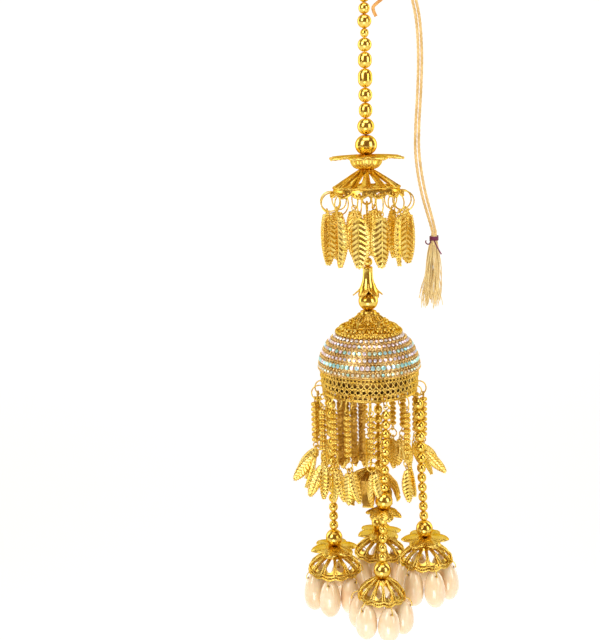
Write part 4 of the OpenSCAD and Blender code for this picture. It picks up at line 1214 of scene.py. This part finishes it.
@dataclass
class Tassel:
    """One bead string with its balls, leaf caps, ribbed cone and six ivory drops.

    place is a row of STRINGS_AT. An item is its kind, how many, their width and their pitch. mouth is the
    drilled hole's rings: radius, and distance out from the egg's side.
    """

    name: str
    place: tuple
    items: tuple
    cone_share: float = 1.0
    cone_r: float = 11.8
    cone_h: float = 8.4
    neck_r: float = 2.9
    cap_petals: int = 6
    cap_hub: float = 6.0
    loops: int = 12
    loop_open: float = 3.2
    loop_r: float = 0.38
    lobe_r: float = 0.5
    inner_lobe_r: float = 0.4
    collar: tuple = (3.05, 0.9)
    drop_count: int = 6
    drop_w: float = 9.7
    drop_l: float = 18.4
    hole_in: float = 2.4
    bail_r: float = 3.8
    ring_r: float = 2.2
    first_z: float = -1.6
    mouth: tuple = ((0.75, -0.14), (0.62, 0.07), (0.3, -0.25), (0.02, -0.4))

    def build(self, balls: Form) -> None:
        """Makes the beads and caps down the string, and the cone and drops at its end.

        Args: balls: takes the string's large balls.
        """
        turned, hang_r, out, side, spin = self.place
        top = STACK.foot(turned, hang_r, self.ring_r) @ turn("y", -out) @ turn("x", side)
        beads, caps, z = Form(), Form(), self.first_z
        for kind, count, size, pitch in self.items:
            for _ in range(count):
                here = top @ shift(z=z)
                if kind is Item.LEAVES:
                    add_petals(caps, here, self.cap_petals, size, self.cap_hub, 2.2 if size < 20 else 1.1)
                    caps.balls(at(here, polar(self.cap_hub / 2, circle(20), 0.9 - pitch)), 0.5, *GRAIN)
                elif kind is Item.BALL:
                    balls.lathe(bead_profile(size, pitch, rows=18), here, 36)
                    balls.torus(here @ shift(z=1.0 - pitch), 2.05, 0.7, 24, 6)
                else:
                    beads.lathe(bead_profile(size, pitch, rows=11), here, 20)
                z -= pitch
        beads.build(f"{self.name}_string_beads", BEAD_GOLD, "drop", replaces=(f"{self.name}_beads",))
        caps.build(f"{self.name}_leaf_cap_relief", CAST_GOLD, "drop")
        end = top @ shift(z=z) @ turn("z", spin)
        self.cone(end)
        self.drops(end)

    def cone(self, end: np.ndarray) -> None:
        """Long wire loops down the cone, two rows of lobes that dip as a half cosine, grains and a collar.

        Args: end: the cone's top.
        """
        form, r, h = Form(), self.cone_r * self.cone_share, self.cone_h
        bow = self.neck_r + 0.62 * (r - self.neck_r)
        t, dip = np.linspace(0, 1, 13), np.cos(np.linspace(-np.pi / 2, np.pi / 2, 13))
        radius = np.interp(t, [0, 0.4, 0.72, 1.0], [self.neck_r, bow, r - 0.6, r]) + 0.25
        step = 360 / self.loops
        for i in range(self.loops):
            for side in (-1, 1):
                a = np.radians((i + 0.5) * step + side * self.loop_open * (0.35 + t))
                form.tube(at(end, polar(radius, a, 0.2 - h * t)[:11]), self.loop_r, 6)
            a = np.radians(i * step + np.linspace(-step / 2, step / 2, 13))
            lobe = at(end, polar(r + 0.15 * dip, a, 0.75 - h - 0.85 * dip))
            form.tube(lobe, self.lobe_r, 7)
            form.tube(at(end, polar(r - 0.1, a, 2.1 - h - 0.75 * dip)), self.inner_lobe_r, 6)
            form.balls(lobe[3:-3:2] + 0.95 * end[:3, 2], 0.4, *GRAIN)
        form.torus(end @ shift(z=-0.4), *self.collar)
        form.build(f"{self.name}_cone_loops", WIRE_GOLD, "drop")

    def egg(self) -> np.ndarray:
        """Egg profile: r = w / 2 sin a^1.08 above the widest place, w / 2 sin a^0.94 below; z goes by cos a.

        Returns: (n, 2) radii and heights from the top, zero at the drilled hole.
        """
        a = np.linspace(0.03, np.pi - 0.03, 34)[:, None]
        r = self.drop_w / 2 * np.where(a < np.pi / 2, np.sin(a) ** 1.08, np.sin(a) ** 0.94)
        widest = 0.6 * self.drop_l
        z = np.where(a < np.pi / 2, widest, self.drop_l - widest) * np.cos(a) - widest
        return np.hstack([r, z + self.hole_in])

    def drops(self, end: np.ndarray) -> None:
        """Smooth drops on an even circle, and the mouths of each one's drilled hole, painted dark as shade.

        Args: end: the cone's top.
        """
        form, holes, egg = Form(), Form(), self.egg()
        hang_r = self.drop_w / 2 / math.sin(math.pi / self.drop_count) + 0.25
        inward = self.cone_r * self.cone_share - 0.7 - hang_r
        z = 0.8 - self.cone_h - math.sqrt(self.bail_r**2 - inward**2)
        flank = np.interp(0, -egg[:, 1], egg[:, 0])
        radii, out = np.array(self.mouth)[:, :, None].transpose(1, 0, 2)
        for i in range(self.drop_count):
            stand = end @ shift(z=z) @ turn("z", i * 360 / self.drop_count) @ shift(hang_r)
            form.lathe(egg, stand, 48)
            for side in (-1, 1):
                grid = at(stand, polar(radii, circle(14), side * (flank + out))[..., [2, 0, 1]])
                holes.grid(grid if side > 0 else grid[:, ::-1], wrap=True)
        form.build(f"{self.name}_ivory_drops", IVORY, "drop", replaces=(f"{self.name}_drops",))
        # The hole mouths are coloured dark brown as painted shade
        holes.build(f"{self.name}_drilled_holes_painted_shade", HOLE_PAINTED_SHADE, "drop")


# Cord
@dataclass
class TieCord:
    """Two silky cords over the hanging point, tied with maroon thread above a fringe.

    A corner of the route is x, z, half the gap between the cords in x, and half their gap in y. A wrap of the
    knot is its height and its outer radius.
    """

    diameter: float = 1.25
    tie: tuple = (29.2, 0.0, -145.5)
    tie_turns: float = 4.6
    tie_r: float = 1.72
    tie_pitch: float = 0.42
    thread_r: float = 0.3
    tail_r: float = 0.72
    ply_turn: float = 6.0
    fringe_l: float = 28.0
    strands: int = 72
    route: tuple = (
        (0, -30.4, 0, -0.75), (0, -27, 0, -0.75), (-0.2, -22, 0, -0.75), (-0.7, -14, 0, -0.75),
        (-1.6, -6, 0, -0.75), (-1.5, -2, 0, -0.75), (-0.7, 0, 0, -0.75), (0.7, 0.7, 0, -0.75),
        (2, 0, 0, -0.75), (3.1, -2, 0, -0.75),
        (6, -8, 0.1, -0.75), (10, -17, 0.3, -0.7), (14.5, -28, 0.5, -0.6), (18.4, -38, 0.65, -0.4),
        (20.6, -45.4, 0.75, -0.2), (22.4, -54, 0.75, 0), (23.2, -64, 0.75, 0), (23.3, -74, 0.75, 0),
        (22.8, -86, 0.75, 0), (22.1, -98, 0.75, 0), (22, -109, 0.8, 0), (23.3, -120, 0.85, 0),
        (25.2, -129, 0.85, 0), (27.4, -137, 0.78, 0), (28.6, -141.5, 0.68, 0), (29.2, -144, 0.64, 0),
        (29.2, -145.5, 0.64, 0))
    strand_r: float = 0.24
    fringe_r: float = 5.0
    loop_r: float = 2.2
    wraps: tuple = ((-30.9, 1.9), (-31.9, 2.2), (-32.9, 2.2), (-33.8, 1.8))
    knot_tail: tuple = ((1, -2, -31), (4.5, -2.6, -36.2), (8, -2.2, -40), (9, -1.8, -43.4),
                        (7.6, -1.6, -45.8), (5.4, -1.6, -47.6), (3.7, -1.6, -49.2), (3.9, -1.7, -51),
                        (4.8, -1.9, -53))
    curl: tuple = ((27.6, -1.9, -148), (26.8, -2.3, -148.9), (25.9, -2.2, -148.9), (25.3, -1.9, -148.2),
                   (25.5, -1.6, -147.4))
    thread_tail: tuple = ((29, -2.1, -147.6), (29.8, -2.4, -149.4), (30.8, -2.4, -151.4),
                          (32.1, -2.2, -153.6))
    fringe_core: tuple = ((0.02, 0.0), (1.3, -0.1), (1.38, -2.2), (1.2, -4.5), (0.02, -9.0))

    def build(self) -> None:
        """The plies show as a radius that goes with |cos 1.5 (a - 2 pi s / turn)|, s the way run along the cord.
        """
        tie, fringe = self.tie_thread(), self.fringe()
        for side, name in ((1, "near"), (-1, "far")):
            path = smooth_line([(p[0] + side * p[2], side * p[3], p[1]) for p in self.route], 22)
            form = Form()
            run = np.concatenate([[0], np.cumsum(np.linalg.norm(np.diff(path, axis=0), axis=1))])
            ply = np.abs(np.cos(1.5 * (circle(18) - 2 * np.pi * run[:, None] / self.ply_turn)))
            form.tube(path, self.diameter / 2 * (0.74 + 0.28 * ply), 18)
            piece = form.build(f"silk_cord_{name}", PALE_SILK, "hanger", replaces=(f"cord_{name}",))
        self.knot()

    def knot(self) -> None:
        """Wraps of cord round the knot, the loop through the strand's eye and the loose tail."""
        form = Form()
        eye_z = -STACK.hang_drop + 2 * STACK.eye_r + STACK.wire_d / 2
        loop_z = eye_z - STACK.eye_play - self.diameter / 2 + self.loop_r
        form.torus(shift(z=loop_z) @ turn("y", 90), self.loop_r, self.diameter, 30, 8)
        for i, (z, r) in enumerate(self.wraps):
            form.torus(shift(z=z) @ turn("x", 9 * (-1) ** i) @ turn("y", 6), r - 0.55, 1.3, 26, 8)
        form.tube(smooth_line(list(self.knot_tail)), self.tail_r)
        form.build("wrapped_knot", KNOT_SILK, "hanger", replaces=("binding_knot",))

    def tie_thread(self) -> bpy.types.Object:
        """Close turns of thread round the cords, a helix, with a curl and a tail.

        Returns: the piece.
        """
        form, x, z = Form(), self.tie[0], self.tie[2]
        t = np.linspace(0, self.tie_turns * 2 * np.pi, 120)
        form.tube(polar(self.tie_r, t, z - 0.3 - self.tie_pitch * t / (2 * np.pi)) + [x, 0, 0], 0.33, 7)
        for loose in (self.curl, self.thread_tail):
            form.tube(smooth_line(list(loose), 6), self.thread_r, 7)
        return form.build("maroon_tie", MAROON, "hanger", replaces=("tie_thread",))

    def fringe(self) -> bpy.types.Object:
        """Fine loose strands: each spreads from start to end as t (1.45 - 0.45 t), with a sideways wave.

        Returns: the piece.
        """
        form, rng, t = Form(), np.random.default_rng(3), np.linspace(0, 1, 15)
        for _ in range(self.strands):
            a, spread = rng.uniform(0, 2 * np.pi), rng.uniform(0.1, 1) ** 0.7
            long, start = self.fringe_l * rng.uniform(0.94, 1.15), 0.35 + 0.8 * spread
            r = start + (self.fringe_r * spread - start) * t * (1.45 - 0.45 * t)
            wave = 0.75 * (0.4 + spread) * np.sin(t * rng.uniform(4, 10) + rng.uniform(0, 6)) * t
            x, y = r * math.cos(a) + wave - 1.3 * t, 0.7 * r * math.sin(a) + 0.6 * wave
            line = np.stack([x, y, -0.4 - long * t], -1) + self.tie
            form.tube(line, self.strand_r * (1 - 0.35 * t), 4)
        form.lathe(np.array(self.fringe_core), shift(*self.tie), 20, 10, 0.06)
        return form.build("silk_fringe", FRINGE_SILK, "hanger", replaces=("cord_fringe",))


# Studio
@dataclass
class Studio:
    """Pale floor and backdrop, soft boxes and the camera at the photograph's viewing angle.

    A lamp is its name, its place in metres, its two sizes and its power.
    """

    eye: tuple = (-30.5, -423.0, -94.0)
    pitch: float = 11.7
    roll: float = 1.65
    focal_px: float = 970.0
    frame_h: int = 640
    sensor: float = 36.0
    aim: tuple = (0, 0, -0.19)
    pale: tuple = (0.42, 0.418, 0.415, 1)
    glow: tuple = (1, 0.998, 0.99, 1)
    warm: tuple = (0.44, 0.24, 0.10, 1)
    warm_strength: float = 0.55
    lamps: tuple = (
        ("key", (-0.62, -0.62, 0.28), (0.42, 0.75), 4.0), ("fill", (0.66, -0.6, 0.02), (0.34, 0.7), 2.6),
        ("top", (0.0, -0.25, 0.75), (0.8, 0.5), 3.4), ("low", (-0.15, -0.75, -0.6), (0.35, 0.3), 1.5),
        ("rim_left", (-0.7, 0.35, 0.0), (0.3, 0.8), 1.2), ("rim_right", (0.7, 0.35, 0.0), (0.3, 0.8), 1.2))

    def stand(self, thing: bpy.types.Object, axes: tuple, spot: np.ndarray) -> None:
        """Puts a camera or a lamp in the scene.

        Args: thing: what stands. axes: its right, up and backward directions. spot: its place in metres.
        """
        matrix = np.eye(4)
        matrix[:3, :3], matrix[:3, 3] = np.stack(axes, -1), spot
        thing.matrix_world = Matrix(matrix.tolist())
        bpy.context.scene.collection.objects.link(thing)

    def camera(self) -> None:
        """Camera whose right and up axes are turned by the roll about its line of sight."""
        p, q = math.radians(self.pitch), math.radians(self.roll)
        right, up = np.array([1, 0, 0]), np.array([0, math.sin(p), math.cos(p)])
        back = -np.array([0, math.cos(p), -math.sin(p)])
        data = bpy.data.cameras.new("eye")
        data.sensor_fit, data.sensor_height, data.sensor_width = "VERTICAL", self.sensor, self.sensor
        data.lens = self.focal_px / self.frame_h * self.sensor
        data.clip_start, data.clip_end = 0.01, 20.0
        camera = bpy.data.objects.new("eye", data)
        axes = (math.cos(q) * right - math.sin(q) * up, math.cos(q) * up + math.sin(q) * right, back)
        self.stand(camera, axes, np.array(self.eye) * MM)
        bpy.context.scene.camera = camera

    def sheet(self, name: str, form: Form, strength: float) -> bpy.types.Object:
        """A pale matt stage piece.

        Args: name: its name. form: its shape. strength: how much light it gives off.
        Returns: the object.
        """
        piece, shade = form.write(name), Shade(name)
        shade.set(Base_Color=self.pale, Roughness=0.9, Emission_Color=self.glow, Emission_Strength=strength)
        piece.data.materials.append(shade.material)
        return piece

    def lamp(self, name: str, spot: tuple, size: tuple, power: float) -> None:
        """A soft box that faces the middle of the ornament.

        Args: name: its name. spot: its place in metres. size: its width and height. power: in watts.
        """
        light = bpy.data.lights.new(name, "AREA")
        light.shape, light.size, light.size_y, light.energy = "RECTANGLE", *size, power
        away = unit(np.array(spot) - self.aim)
        across = unit(np.cross([0, 0, 1], away))
        self.stand(bpy.data.objects.new(name, light), (across, np.cross(away, across), away), np.array(spot))

    def build(self) -> None:
        """Makes floor and backdrop as one swept sheet, a surround that lights nothing, and the lights."""
        sweep, room = Form(), Form()
        a = np.linspace(0, np.pi / 2, 12)
        curve = np.stack([900 + 500 * np.sin(a), -400 - 500 * np.cos(a)], -1)
        line = np.vstack([[-2500.0, -900.0], curve, [1400.0, 2600.0]])
        sweep.grid(np.stack(np.broadcast_arrays(np.linspace(-6000, 6000, 8), line[:, :1], line[:, 1:]), -1))
        self.sheet("pale_sweep", sweep, 0.78)
        room.balls(np.zeros(3), 8000.0, 48, 24)
        surround = self.sheet("pale_surround", room, 0.95)
        surround.visible_glossy = surround.visible_diffuse = surround.visible_transmission = False
        surround.visible_shadow = False
        world = bpy.data.worlds.new("studio")
        world.use_nodes = True
        background = world.node_tree.nodes["Background"].inputs
        background["Color"].default_value = self.warm
        background["Strength"].default_value = self.warm_strength
        bpy.context.scene.world = world
        bpy.context.scene.view_settings.view_transform = "Standard"
        for lamp in self.lamps:
            self.lamp(*lamp)


def dress_nodes(frame: dict) -> None:
    """Gives each CAD node a finish: its own, else cast gold on cones and leaf caps and wire gold on the rest.
    """
    # The inner strings and inner flower take the darker gold as painted shade
    finishes = {"stone_dome": DOME_GOLD, "inner_strings": PAINTED_SHADE_GOLD, "inner_flower": PAINTED_SHADE_GOLD,
                "leaf_flower": LEAF_GOLD, "dome_cap": CAST_GOLD, "coil_link": CAST_GOLD,
                "fluted_cup": CAST_GOLD, "umbrella": CAST_GOLD, "tulip_cap": BEAD_GOLD}
    for name, node in frame["nodes"].items():
        finish = finishes.get(name, CAST_GOLD if "cone" in name or "leaf_cap" in name else WIRE_GOLD)
        node.data.materials.clear()
        node.data.materials.append(finish.material())


def main() -> None:
    """Builds the studio and the sub-assemblies in order."""
    logging.basicConfig(level=logging.INFO, format="%(message)s")
    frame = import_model()
    studio = Studio()
    studio.camera()
    TieCord().build()
    dress_nodes(frame)
    for assembly in (BeadStrand(), Crown(), LeafRing(), CentreLine(), Dome(), BarFringe(), InnerWork()):
        assembly.build()
    ball, wide = (Item.BALL, 1, 7.7, 7.82), (Item.LEAVES, 1, 21.0, 3.4)
    front = ((Item.BEAD, 9, 4.05, 4.1), ball, (Item.LEAVES, 1, 15.0, 2.9), (Item.BEAD, 5, 3.7, 4.4), ball)
    tassels = [
        Tassel("front", STRINGS_AT[0], front, 0.87, drop_l=16.2),
        Tassel("right", STRINGS_AT[1], ((Item.BEAD, 6, 4.85, 5.1), (Item.BEAD, 6, 4.05, 4.65), ball, wide)),
        Tassel("back", STRINGS_AT[2], ((Item.BEAD, 14, 4.1, 4.65), ball, wide)),
        Tassel("left", STRINGS_AT[3], ((Item.BEAD, 14, 4.1, 4.45), ball, wide)),
    ]
    balls = Form()
    for tassel in tassels:
        tassel.build(balls)
    balls.build("large_polished_balls", BEAD_GOLD, "drop", replaces=("string_balls",))
    studio.build()
    bpy.context.view_layer.update()


if __name__ == "__main__":
    main()
